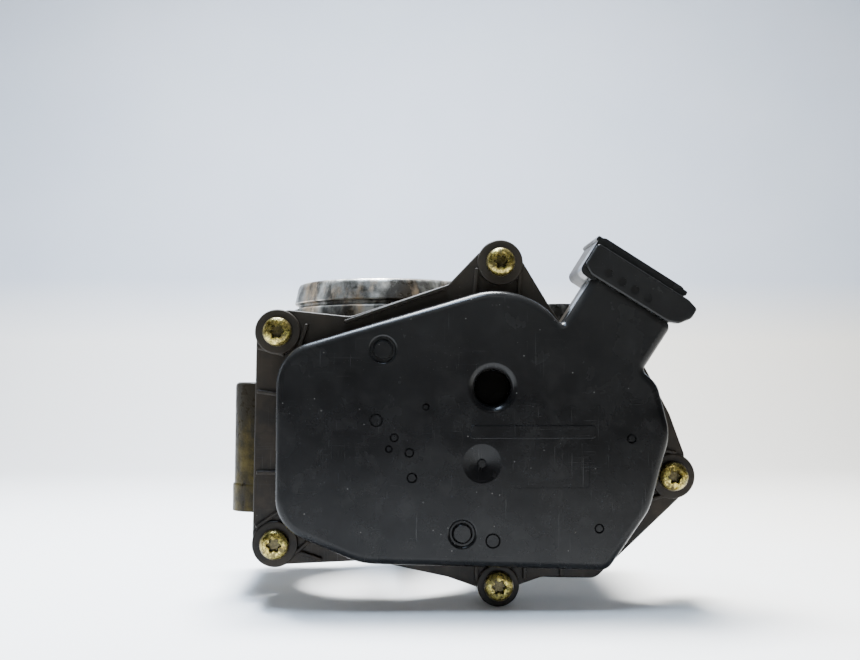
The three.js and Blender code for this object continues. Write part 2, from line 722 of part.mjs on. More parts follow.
function sectorGear() {
  const [x, z] = SHAFT_AXIS;
  const arc = teeth(SECTOR, SHAFT_AXIS, INTERMEDIATE_BEARING, SECTOR_FIRST_TOOTH, SECTOR_LAST_TOOTH);
  const start = Math.atan2(arc[0].y - z, arc[0].x - x);
  const last = arc[arc.length - 1];
  const end = Math.atan2(last.y - z, last.x - x);
  const steps = 8;
  const back = Array.from({ length: steps + 1 }, (_, i) => {
    const angle = end + ((start + 2 * Math.PI - end) * i) / steps;
    const [hx, hz] = polar(SHAFT_AXIS, 7, angle);
    return new THREE.Vector2(hx, hz);
  });
  const [level, front] = SECTOR_LEVELS;
  const hubFront = -43.8;
  const body = joined([
    plate([...arc, ...back], level, front),
    bar(7.6, level + 0.8, front, SHAFT_AXIS, 32),
    bar(6.3, front + 0.1, hubFront, SHAFT_AXIS, 32),
  ]);
  const windowAxes = [50, 95].map((degrees) => polar(SHAFT_AXIS, 15.4, radians(degrees)));
  const cuts = [
    bar(SHAFT_RADIUS + 0.05, level + 2, SHAFT_FRONT - 0.1, SHAFT_AXIS, 32),
    bar(4.8, SHAFT_FRONT, hubFront - CLEAR, SHAFT_AXIS),
    ...windowAxes.map((axis) => bar(4.2, level + CLEAR, front - 0.6, axis, 20)),
  ];
  return part('sector_gear', cut(body, cuts), MATERIALS.gear);
}

// The return spring: two and a half turns of round wire about the shaft.
function returnSpring() {
  const wire = 0.75;
  const steps = 40;
  const points = Array.from({ length: steps + 1 }, (_, i) => {
    const [x, z] = polar(SHAFT_AXIS, 10.2, radians(200) + (i * 5 * Math.PI) / steps);
    return new THREE.Vector3(x, -29.4 - (i * 4.4) / steps, z);
  });
  const section = new THREE.Shape();
  section.absarc(0, 0, wire, 0, 2 * Math.PI);
  const geometry = new THREE.ExtrudeGeometry(section, {
    steps: 50,
    curveSegments: 2,
    extrudePath: new THREE.CatmullRomCurve3(points),
  });
  return part('return_spring', solid(geometry), MATERIALS.steel);
}

function intermediateGear() {
  const toShaft = INTERMEDIATE_BEARING + Math.PI;
  const large = wheel(LARGE_GEAR, INTERMEDIATE_AXIS, MOTOR_BEARING, false, ...LARGE_GEAR_LEVELS);
  const small = wheel(SMALL_GEAR, INTERMEDIATE_AXIS, toShaft, true, ...SMALL_GEAR_LEVELS);
  const [webBack, front] = LARGE_GEAR_LEVELS;
  const above = front - CLEAR;
  const cup = bar(17.6, webBack - 1.6, above, INTERMEDIATE_AXIS, 32);
  const holes = Array.from({ length: 6 }, (_, i) => {
    const axis = polar(INTERMEDIATE_AXIS, 12.6, (i * Math.PI) / 3);
    return bar(2.6, webBack + CLEAR, above, axis, 10);
  });
  const cuts = [cup, ...holes, bar(PIN_RADIUS + 0.15, -33, above, INTERMEDIATE_AXIS, 12)];
  return part('intermediate_gear', cut(joined([large, small]), cuts), MATERIALS.gear);
}

// Motor

function motorScrewAxes() {
  return [0, Math.PI].map((turn) => polar(MOTOR_AXIS, MOTOR_SCREW_REACH, MOTOR_SCREW_BEARING + turn));
}

function motorCan() {
  const inside = MOTOR_RADIUS - 1.1;
  const bushHole = MOTOR_BUSH_RADIUS + 0.05;
  const bushCup = bushHole + 1.5;
  const mouth = MOTOR_PLATE_BACK + 0.4;
  const profile = [
    [bushHole, MOTOR_REAR],
    [inside - 0.3, MOTOR_REAR],
    [inside, MOTOR_REAR - 0.6],
    [inside, mouth],
    [MOTOR_RADIUS, mouth],
    [MOTOR_RADIUS, MOTOR_REAR],
    [MOTOR_RADIUS - 1, MOTOR_REAR + 1.2],
    [bushCup, MOTOR_REAR + 1.2],
    [bushCup, MOTOR_REAR + 3],
    [bushHole, MOTOR_REAR + 3],
  ];
  return part('motor_can', turned(profile, MOTOR_AXIS, 28), MATERIALS.steel);
}

function terminalSlots() {
  const [x, z] = MOTOR_AXIS;
  return [-1, 1].map((side) => [x + side * 8, z - 4]);
}

function motorEndPlate() {
  const ears = motorScrewAxes();
  const levels = [MOTOR_PLATE_BACK, MOTOR_PLATE_FRONT];
  const body = joined([
    bar(MOTOR_RADIUS + 0.1, ...levels, MOTOR_AXIS, 28),
    wall(ears[0], ears[1], 7, ...levels),
    ...ears.map((axis) => bar(MOTOR_EAR_RADIUS, ...levels, axis, 20)),
    bar(MOTOR_RADIUS - 1.4, MOTOR_PLATE_BACK + 2.5, MOTOR_PLATE_BACK - 0.1, MOTOR_AXIS, 28),
    bar(4.4, MOTOR_PLATE_FRONT + 0.1, MOTOR_PLATE_FRONT - 1.9, MOTOR_AXIS, 24),
  ]);
  const [x, z] = MOTOR_AXIS;
  const cuts = [
    bar(MOTOR_BUSH_RADIUS + 0.05, -27, -33.6, MOTOR_AXIS, 20),
    bar(MOTOR_SHAFT_RADIUS + 0.5, -27, PARTING, MOTOR_AXIS, 16),
    ...ears.map((axis) => bar(MOTOR_SCREW_HOLE_RADIUS, -30, -33, axis, 16)),
    ...terminalSlots().map(([tx, tz]) => block(1.2, 8, 3.4, tx, -31, tz)),
    block(4, 8, 3, x, -31, z + 9),
  ];
  return part('motor_end_plate', cut(body, cuts), MATERIALS.steel);
}

function motorScrew(axis, number) {
  const shank = bar(1.5, -24, MOTOR_PLATE_FRONT - 0.1, axis, 16);
  const seat = MOTOR_PLATE_FRONT - 0.05;
  const top = seat - 1.95;
  const head = turned([[0, top], [2, top], [2.7, top + 0.7], [2.7, seat], [0, seat]], axis, 20);
  const slot = [3, 0.7];
  const recess = [slot, slot.toReversed()].map(([width, height]) => {
    return block(width, 1.6, height, axis[0], top - 0.1, axis[1]);
  });
  return part(`motor_screw_${number + 1}`, cut(joined([shank, head]), recess), MATERIALS.steel);
}

function fieldMagnet(side, number) {
  const [x, z] = MOTOR_AXIS;
  const half = radians(66);
  const middle = side > 0 ? 0 : Math.PI;
  const shape = new THREE.Shape();
  shape.absarc(x, z, MOTOR_RADIUS - 1.2, middle - half, middle + half, false);
  shape.absarc(x, z, MOTOR_RADIUS - 3.2, middle + half, middle - half, true);
  return part(`field_magnet_${number}`, plate(shape.getPoints(9), 9, -18), MATERIALS.magnet);
}

function armatureCore() {
  const slots = Array.from({ length: 5 }, (_, i) =>
    wall(polar(MOTOR_AXIS, 4, radians(72 * i)), polar(MOTOR_AXIS, 12, radians(72 * i)), 2, 8, -17),
  );
  const body = cut(bar(MOTOR_RADIUS - 3.7, 7, -16, MOTOR_AXIS, 40), [
    ...slots,
    bar(MOTOR_SHAFT_HOLE_RADIUS, 8, -17, MOTOR_AXIS, 16),
  ]);
  return part('armature_core', body, MATERIALS.copper);
}

function motorPinion() {
  const gear = wheel(PINION, MOTOR_AXIS, MOTOR_BEARING + Math.PI, true, ...PINION_LEVELS);
  const body = cut(gear, [bar(MOTOR_SHAFT_HOLE_RADIUS, -39, -46, MOTOR_AXIS, 16)]);
  return part('motor_pinion', body, MATERIALS.brass);
}

function motorBrush(side, number) {
  const [x, z] = MOTOR_AXIS;
  return part(`motor_brush_${number}`, block(3, 3, 5, x, -22, z + side * 7), MATERIALS.carbon);
}

function motorTerminal([x, z], number) {
  return part(`motor_terminal_${number + 1}`, block(0.8, 8.4, 3, x, -33.6, z), MATERIALS.tin);
}

// A cupped spring ring that presses the motor forwards.
function waveWasher() {
  const level = MOTOR_REAR + 3.9;
  const profile = [
    [6, level - 2.3],
    [6.2, level - 2.5],
    [11.2, level - 0.5],
    [11.2, level],
    [10.8, level],
  ];
  return part('wave_washer', turned(profile, MOTOR_AXIS, 24), MATERIALS.steel);
}

// Sensor and terminals

function sensorBoard() {
  const corners = [[-12, 12, 2], [14, 12, 2], [14, 34, 2], [-12, 36, 2]];
  return part('sensor_board', plate(rounded(corners), -45.5, -46.7), MATERIALS.board);
}

function connectorTerminal(u, number) {
  const blade = terminalBlock(u, TERMINAL_SIZE, -17, 3.4);
  return part(`connector_terminal_${number + 1}`, blade, MATERIALS.tin);
}

function manifoldSeal() {
  const { inner, outer, depth } = SEAL_GROOVE;
  const profile = [
    [inner + 0.2, 0.1],
    [inner + 0.6, -0.5],
    [outer - 0.6, -0.5],
    [outer - 0.2, 0.1],
    [outer - 0.2, depth - 0.2],
    [inner + 0.2, depth - 0.2],
  ];
  return part('manifold_seal', turnedUp(profile, 40), MATERIALS.rubber);
}

function bearingsAndSeal() {
  const inner = BEARING_HOLE_RADIUS;
  const outer = BEARING_OUTER_RADIUS;
  return [
    part('front_bearing', ring(inner, outer, -27.4, -33.3, SHAFT_AXIS, 28), MATERIALS.steel),
    part('rear_bearing', ring(inner, outer, 31.2, REAR_BEARING_SEAT + 0.1, SHAFT_AXIS, 28), MATERIALS.steel),
    part('shaft_seal', ring(inner, outer, -25, -27.2, SHAFT_AXIS, 28), MATERIALS.rubber),
    part('rear_plug', bar(outer, REAR_BOSS_END - 1.6, 34, SHAFT_AXIS, 28), MATERIALS.steel),
  ];
}

function motorBushes() {
  const inner = MOTOR_SHAFT_HOLE_RADIUS;
  const outer = MOTOR_BUSH_RADIUS;
  const rear = ring(inner, outer, MOTOR_REAR + 2.9, MOTOR_REAR + 0.1, MOTOR_AXIS, 20);
  return [
    part('motor_front_bush', ring(inner, outer, -28.3, -33.5, MOTOR_AXIS, 20), MATERIALS.brass),
    part('motor_rear_bush', rear, MATERIALS.brass),
  ];
}

const throttleBody = new THREE.Group();
throttleBody.add(
  throttleHousing(),
  gearCover(),
  coverGasket(),
  ...COVER_SCREWS.map(coverScrew),
  throttleShaft(),
  throttlePlate(),
  plateScrew(-1, 1),
  plateScrew(1, 2),
  ...bearingsAndSeal(),
  sectorGear(),
  part('sensor_magnet', bar(4.7, -41, -43.6, SHAFT_AXIS, 24), MATERIALS.magnet),
  returnSpring(),
  intermediateGear(),
  part('intermediate_pin', bar(PIN_RADIUS, PIN_BACK, PIN_FRONT, INTERMEDIATE_AXIS, 20), MATERIALS.steel),
  motorCan(),
  motorEndPlate(),
  ...motorScrewAxes().map(motorScrew),
  fieldMagnet(1, 1),
  fieldMagnet(-1, 2),
  part('motor_shaft', bar(MOTOR_SHAFT_RADIUS, MOTOR_REAR + 2.8, -45.2, MOTOR_AXIS, 16), MATERIALS.steel),
  armatureCore(),
  part('commutator', ring(MOTOR_SHAFT_HOLE_RADIUS, 4.2, -19.6, -24.6, MOTOR_AXIS, 24), MATERIALS.copper),
  motorBrush(1, 1),
  motorBrush(-1, 2),
  ...motorBushes(),
  motorPinion(),
  ...terminalSlots().map(motorTerminal),
  waveWasher(),
  sensorBoard(),
  ...terminalPlaces().map(connectorTerminal),
  manifoldSeal(),
);

export default throttleBody;
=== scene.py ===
import json
import math

import bmesh
import bpy
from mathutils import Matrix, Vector


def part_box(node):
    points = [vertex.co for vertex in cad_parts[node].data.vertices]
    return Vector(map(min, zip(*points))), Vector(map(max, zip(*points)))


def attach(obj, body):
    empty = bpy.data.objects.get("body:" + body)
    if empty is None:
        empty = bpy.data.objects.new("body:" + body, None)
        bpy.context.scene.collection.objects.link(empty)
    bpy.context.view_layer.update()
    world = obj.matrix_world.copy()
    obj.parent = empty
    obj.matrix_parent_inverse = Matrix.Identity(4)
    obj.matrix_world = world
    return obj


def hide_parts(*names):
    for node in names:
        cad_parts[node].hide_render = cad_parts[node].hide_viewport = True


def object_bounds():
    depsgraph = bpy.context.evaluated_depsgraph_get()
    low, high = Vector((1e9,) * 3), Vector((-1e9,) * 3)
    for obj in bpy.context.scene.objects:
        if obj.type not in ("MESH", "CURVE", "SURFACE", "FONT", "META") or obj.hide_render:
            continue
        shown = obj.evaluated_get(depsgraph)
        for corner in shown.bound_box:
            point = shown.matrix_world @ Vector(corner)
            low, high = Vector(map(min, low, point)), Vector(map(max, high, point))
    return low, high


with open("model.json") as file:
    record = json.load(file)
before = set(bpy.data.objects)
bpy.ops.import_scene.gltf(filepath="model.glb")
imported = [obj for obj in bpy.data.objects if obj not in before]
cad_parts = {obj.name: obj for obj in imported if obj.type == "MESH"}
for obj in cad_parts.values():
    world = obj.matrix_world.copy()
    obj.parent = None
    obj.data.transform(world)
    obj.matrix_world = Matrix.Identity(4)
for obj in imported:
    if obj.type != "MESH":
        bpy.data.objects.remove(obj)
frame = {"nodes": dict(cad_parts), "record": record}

# The visual model of a throttle body. Lengths are in millimetres until a mesh is made, and the frame is
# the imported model's: the bore runs up +Z, the throttle shaft lies along Y and the cover faces -Y.
CAD_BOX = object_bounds()
MM = 0.001

# Levels along Y, from the housing outwards to the front of the cover
CASE_BACK = -27.5
CASE_FLOOR = -30.5
PARTING = -35
COVER_BACK = -35.7
FLANGE_FRONT = -39.5
BOSS_FRONT = -41
DOME_FRONT = -49
COVER_WALL = 2.2
CAVITY_INSET = 2.6
RIB_WIDTH = 1.1
RIB_CORNER = 0.4
BLOCK_CORNER = 0.6

# Bore, barrel and bolt columns
BORE_RADIUS = 23
BARREL_TOP = 66.6
BARREL_RADIUS = 28
BASE_THICKNESS = 8
COLUMN_HEIGHT = 36.6
COLUMN_RADIUS = 7
COLUMN_HOLE_RADIUS = 3.4
COLUMNS = [(-36.5, -21), (-36.5, 21), (30.5, -21), (30.5, 21)]
SEAL_GROOVE = [(24.6, -1), (27.4, -1), (27.4, 2.2), (24.6, 2.2)]

# Axes of the turning parts, read from the joints
def joint_axis(name):
    joint = next(j for j in frame["record"]["behaviour"]["joints"] if j["name"] == name)
    return joint["pos_m"][0] / MM, joint["pos_m"][2] / MM


SHAFT_AXIS = joint_axis("throttle_turn")
GEAR_AXIS = joint_axis("intermediate_turn")
MOTOR_AXIS = joint_axis("armature_turn")
MOTOR_RADIUS = 13.5
MOTOR_REAR = 13
SHAFT_HOLE_RADIUS = 4.25
BEARING_SEAT_RADIUS = 6
FRONT_BEARING_BACK = -24.8
REAR_BEARING_FRONT = 25
REAR_BOSS_RADIUS = 10
REAR_BOSS_END = 38
SPRING_WELL = [(7.8, -31), (12.6, -31), (12.6, -28.4), (7.8, -28.4)]
SPRING_SEAT_RADIUS = 7.6
PIN_BOSS_RADIUS = 5
PIN_HOLE_RADIUS = 2.12
PIN_HOLE_BACK = -28.2
MOTOR_SCREW_POST_RADIUS = 3.6
MOTOR_SCREW_HOLE_RADIUS = 1.7

# Cover screws: x, z, boss radius
COVER_SCREWS = [
    (-29.4, 50.2, 6.2),
    (31.6, 69.5, 6.3),
    (78.8, 10.8, 6.2),
    (30.7, -18.5, 5.7),
    (-29.7, -7.1, 6.2),
]
SCREW_HEAD_RADIUS = 4
SCREW_HOLE_RADIUS = 2.3
SCREW_THREAD_HOLE_RADIUS = 2.05
SCREW_POST_RADIUS = 5.2
RECESS_RADIUS = 1.68
LOBE_HEIGHT = 0.3
LOBE_COUNT = 6
LOBE_POINTS = 72

# The round pocket in the cover's face, in front of the intermediate gear
POCKET_RADIUS = 4.7
POCKET_FLOOR = -43.4
POCKET_POST_RADIUS = 6.3

# Marks on the cover's face, as x, z and, for the ejector marks, radius
GROOVED_BOSSES = [(-0.65, 45.1), (20.4, -3.5)]
EJECTOR_MARKS = [
    (28.5, -5.4, 2), (-2.4, 26.4, 1.8), (7.1, 11.2, 1.4), (6.4, 17.8, 1.3), (10.8, 29.9, 1),
    (2.4, 21.8, 1.2), (1, 18.8, 1), (56.8, -2.3, 1.3), (65.7, 21.4, 1.3),
]
GATE = (25.7, 14.9)
SUNK_PANEL = [(33.4, 8.4, 1), (54.4, 8.4, 1), (54.4, 17.5, 1), (33.4, 17.5, 1)]
RAISED_STRIP = [(22.5, 21.4, 0.8), (56, 21.4, 0.8), (56, 25, 0.8), (22.5, 25, 0.8)]
HOOD_DIMPLES = (-7.6, -3.4, 0.7, 4.8)
DIMPLE_RADIUS = 1.15

# Outlines as corners (x, z, rounding radius), anticlockwise
FLANGE = [
    (-35.9, -8, 1), (-31, -12.9, 1), (-4, -11.8, 6), (17, -16.4, 6), (30, -21, 2), (42.5, -16.6, 3),
    (57.5, -17, 4), (81.3, 5, 3), (82.6, 16.6, 3), (78.6, 27.8, 6), (71.4, 41.6, 3), (58, 52, 2),
    (49.5, 51.5, 1), (45.6, 57.2, 1), (37, 71.6, 2.5), (31.6, 73, 3), (26, 72.6, 2), (17.4, 63.6, 2),
    (-9.6, 54.6, 6), (-27, 56.4, 2), (-35.3, 51, 2),
]
NOTCH = [(58, 52, 1), (51.5, 48, 1), (43, 58.2, 1), (50.6, 58.4, 2), (56, 58.2, 2)]
DOME = [
    (-29, -1.6, 11), (-6.5, -11.4, 20), (59.2, -13.6, 4), (70.8, 2.5, 14), (76.6, 22.5, 14), (73.2, 36, 7),
    (69.2, 39.6, 1.5), (77.6, 52.2, 2.5), (56.3, 65.6, 2.5), (47.4, 51.9, 1), (37.3, 64.3, 21.5),
    (-29, 44.4, 11.6),
]
CASE = [
    (-29, -1.6, 11), (-6.5, -11.4, 20), (58.3, -13.6, 4), (69.3, 5.5, 25), (75, 26.5, 8), (60, 46, 8),
    (37.3, 64.3, 23.9), (-29, 44.4, 11.6),
]

# Connector hood: u runs along its long side and v along the neck, both from HOOD_CENTRE
HOOD_CENTRE = (66.5, 62)
HOOD_TILT = math.radians(32.4)
HOOD_BACK = -27.5
HOOD_FRONT = -50.2
HOOD_RIM = 7.5
HOOD_FLOOR = -1.5
HOOD_LEFT = -14.5
HOOD_RIGHT = 13
HOOD_LOW = -4.2
HOOD_WALL = 2.1
HOOD_COLLAR = 0.6
HOOD_FACE = [
    (-11.4, -3.4, 1.6), (12.6, -3.1, 1), (15.6, -1.8, 2), (17.7, 1.2, 2), (17.7, 4.2, 1), (14.4, 5.1, 1),
    (-14.2, 5, 0.8), (-14.2, -1.8, 2),
]
TERMINAL_HALF_WIDTH = 0.45
TERMINAL_DEPTH = -9
TERMINAL_BACK = -40.55
TERMINAL_FRONT = -41.45

# Where the colours change: on the cover and the screws along Y, on the casting and the cover along Z, and
# in the pocket with distance from its axis
FLANGE_COLOUR_LEVELS = (-43.4, -41)
# Painted shade: back from these levels the screws are darkened, on the head's side and in the recess
SCREW_PAINTED_SHADE_LEVELS = (-43.4, -42.9)
POCKET_SHADE_LEVELS = (-48.6, -46.5)
POCKET_SHADE_RADII = (5.4, 4.6)
# Painted light: over these heights the cover is painted paler towards the top, as if lit from above
PAINTED_LIGHT_HEIGHTS = (22, 64)
SILVER_HEIGHTS = (54, 61)
STAIN_COLOUR = (0.03, 0.025, 0.02)
STAIN_STRENGTH = 0.35

# Camera and stage
CAMERA_PLACE = (1.4, -324.4, 34.8)
CAMERA_YAW = 0.038
CAMERA_PITCH = 0.0563
CAMERA_LENS = 43.4
SENSOR_WIDTH = 36
CLIP_START = 0.01
FLOOR_LEVEL = CAD_BOX[0][2] / MM - 0.3
# Painted shade: heights over which the sweep is painted darker and bluer up the wall
WALL_SHADE_HEIGHTS = (75, 130)
SWEEP_START = 420
SWEEP_RADIUS = 160
SWEEP_STEPS = 16
FLOOR_FRONT = -1600
WALL_HEIGHT = 1500
STAGE_HALF_WIDTH = 1800

# Area lights: name, place, size, power in watts, colour. The room's own light rises with +Y.
LIGHT_AIM = (20, 0, 20)
LIGHTS = [
    ("overhead", (-20, 90, 600), (250, 180), 20, (0.97, 0.985, 1)),
    ("strip", (-90, -40, 440), (420, 60), 4.5, (0.62, 0.78, 1)),
    ("window", (-520, 60, 190), (60, 300), 0.5, (0.8, 0.9, 1)),
    ("front", (60, -560, 420), (240, 120), 0.35, (1, 0.98, 0.95)),
]
ROOM_COLOUR = (0.86, 0.92, 1, 1)
ROOM_FADE = {"From Min": -0.3, "From Max": 0.7, "To Min": 0.02, "To Max": 0.8}

# How finely the pieces are made
OUTLINE_STEP = math.radians(5)
SHARP_ANGLE = math.radians(32)
BARREL_SEGMENTS = 128
FINE_SEGMENTS = 64
HOLE_SEGMENTS = 48
SMALL_SEGMENTS = 32
TINY_SEGMENTS = 24
BAR_ARC_STEPS = 4
SAME_POINT = 1e-7
SAME_CAD_POINT = 1e-6
FLAT_ANGLE = math.radians(1)
BEVEL_ANGLE = math.radians(40)
EDGE_BEVEL = 0.12


# ---------------------------------------------------------------- shapes

def polar(centre, reach, bearing):
    return centre[0] + reach * math.cos(bearing), centre[1] + reach * math.sin(bearing)


def rounded(corners, inset=0.0):
    """Points of an outline whose corners are moved inwards by inset and rounded with arcs."""
    points = [Vector(corner[:2]) for corner in corners]
    count = len(points)
    ways = [(points[(i + 1) % count] - points[i]).normalized() for i in range(count)]
    outline = []
    for i, corner in enumerate(corners):
        before, after = ways[i - 1], ways[i]
        turn = math.atan2(before.x * after.y - before.y * after.x, before.dot(after))
        side = math.copysign(1, turn)
        inwards = Vector((-before.y - after.y, before.x + after.x)).normalized()
        arc = max(corner[2] - side * inset, 0.05)
        centre = points[i] + inwards * ((inset + side * arc) / math.cos(turn / 2))
        start = math.atan2(-side * before.x, side * before.y)
        steps = max(1, math.ceil(abs(turn) / OUTLINE_STEP))
        outline += [polar(centre, arc, start + turn * n / steps) for n in range(steps + 1)]
    return outline


def add_object(name, vertices, faces):
    mesh = bpy.data.meshes.new(name)
    mesh.from_pydata([Vector(v) * MM for v in vertices], [], faces)
    made = bmesh.new()
    made.from_mesh(mesh)
    bmesh.ops.remove_doubles(made, verts=made.verts, dist=SAME_POINT)
    bmesh.ops.recalc_face_normals(made, faces=made.faces)
    made.to_mesh(mesh)
    made.free()
    piece = bpy.data.objects.new(name, mesh)
    bpy.context.scene.collection.objects.link(piece)
    return piece


def loft(rings):
    """A closed body through rings of points with equal counts, capped at both ends."""
    count = len(rings[0])
    vertices = [point for ring_points in rings for point in ring_points]
    faces = [list(range(count))[::-1]]
    for level in range(len(rings) - 1):
        low, high = level * count, (level + 1) * count
        for i in range(count):
            j = (i + 1) % count
            faces.append([low + i, low + j, high + j, high + i])
    faces.append([(len(rings) - 1) * count + i for i in range(count)])
    return add_object("loft", vertices, faces)


def fillet_levels(back, front, fillet, back_fillet=0.0, steps=5):
    """Pairs of (level, inset) from the back face to the front, with quarter-round edges."""
    levels = []
    if back_fillet:
        for n in range(steps + 1):
            angle = math.pi / 2 * n / steps
            levels.append((back - back_fillet * (1 - math.cos(angle)), back_fillet * (1 - math.sin(angle))))
    else:
        levels.append((back, 0.0))
    if fillet:
        for n in range(steps + 1):
            angle = math.pi / 2 * n / steps
            levels.append((front + fillet * (1 - math.sin(angle)), fillet * (1 - math.cos(angle))))
    else:
        levels.append((front, 0.0))
    return levels


def plate(corners, back, front, fillet=0.0, inset=0.0, back_fillet=0.0, steps=5):
    """A plate with an outline in x and z, from y = back to y = front, its edges rounded."""
    rings = []
    for level, pull in fillet_levels(back, front, fillet, back_fillet, steps):
        rings.append([(x, level, z) for x, z in rounded(corners, inset + pull)])
    return loft(rings)


def upright_plate(corners, low, high, fillet=0.0):
    """A plate with an outline in x and y, from z = low to z = high, its top edge rounded."""
    rings = []
    for level, pull in fillet_levels(-low, -high, fillet):
        rings.append([(x, y, -level) for x, y in rounded(corners, pull)])
    return loft(rings)


def turned(profile, centre, segments=FINE_SEGMENTS, upright=False):
    """A body turned from (radius, level) points, about a line along Y, or along Z if upright. A profile
    that doesn't touch its axis is closed on itself."""
    vertices, faces = [], []
    count = len(profile)
    closed = profile[0][0] > 1e-6
    for n in range(segments):
        angle = 2 * math.pi * n / segments
        for radius, level in profile:
            across, along = radius * math.cos(angle), radius * math.sin(angle)
            if upright:
                vertices.append((centre[0] + across, centre[1] + along, level))
            else:
                vertices.append((centre[0] + across, level, centre[1] + along))
    for n in range(segments):
        here, there = n * count, (n + 1) % segments * count
        for i in range(count if closed else count - 1):
            j = (i + 1) % count
            faces.append([here + i, here + j, there + j, there + i])
    piece = add_object("turned", vertices, faces)
    made = bmesh.new()
    made.from_mesh(piece.data)
    bmesh.ops.dissolve_degenerate(made, dist=SAME_POINT, edges=made.edges)
    bmesh.ops.recalc_face_normals(made, faces=made.faces)
    made.to_mesh(piece.data)
    made.free()
    return piece


def bar(radius, back, front, centre, fillet=0.0, segments=FINE_SEGMENTS):
    """A round bar along Y whose front edge is rounded."""
    profile = [(0, back), (radius, back)]
    if fillet:
        for n in range(BAR_ARC_STEPS + 1):
            angle = math.pi / 2 * n / BAR_ARC_STEPS
            profile.append((radius - fillet * (1 - math.cos(angle)), front + fillet * (1 - math.sin(angle))))
        profile.append((0, front))
    else:
        profile += [(radius, front), (0, front)]
    return turned(profile, centre, segments)


def wall(start, end, width, back, front, fillet=0.35):
    """A straight rib between two points of the outline plane, with rounded edges."""
    along = (Vector(end) - Vector(start)).normalized()
    across = Vector((-along.y, along.x)) * (width / 2)
    a, b = Vector(start), Vector(end)
    corners = [(*point, RIB_CORNER) for point in (a - across, b - across, b + across, a + across)]
    return plate(corners, back, front, fillet, steps=3)


def box(low, high, fillet=0.0):
    """An upright block between two opposite corners, with its top edge rounded."""
    places = [(low[0], low[1]), (high[0], low[1]), (high[0], high[1]), (low[0], high[1])]
    corners = [(*place, BLOCK_CORNER) for place in places]
    return upright_plate(corners, low[2], high[2], fillet)


def combine(name, first, others, how):
    """Joins or cuts one solid with others, which are used up."""
    group = bpy.data.collections.new("operands")
    bpy.context.scene.collection.children.link(group)
    for other in others:
        bpy.context.scene.collection.objects.unlink(other)
        group.objects.link(other)
    step = first.modifiers.new("join", "BOOLEAN")
    step.operation = how
    step.solver = "MANIFOLD"
    step.operand_type = "COLLECTION"
    step.collection = group
    seen = first.evaluated_get(bpy.context.evaluated_depsgraph_get())
    mesh = bpy.data.meshes.new_from_object(seen)
    first.modifiers.clear()
    first.data = mesh
    first.name = name
    for other in others:
        bpy.data.objects.remove(other)
    bpy.data.collections.remove(group)
    return first


def joined(name, pieces):
    return combine(name, pieces[0], pieces[1:], "UNION")


def cut(name, body, tools):
    return combine(name, body, tools, "DIFFERENCE")


def smooth(piece):
    """Smooth shading that keeps hard edges sharp and flat faces flat."""
    mesh = piece.data
    mesh.polygons.foreach_set("use_smooth", [True] * len(mesh.polygons))
    mesh.set_sharp_from_angle(angle=SHARP_ANGLE)
    normals = piece.modifiers.new("normals", "WEIGHTED_NORMAL")
    normals.keep_sharp = True
    return piece


def finish_piece(piece, name, body, node, finish):
    """Names a piece, gives it a material and lets it stand for its CAD node."""
    piece.name = name
    piece.data.name = name
    piece.data.materials.clear()
    piece.data.materials.append(finish)
    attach(piece, body)
    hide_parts(node)
    return smooth(piece)


# ---------------------------------------------------------------- materials

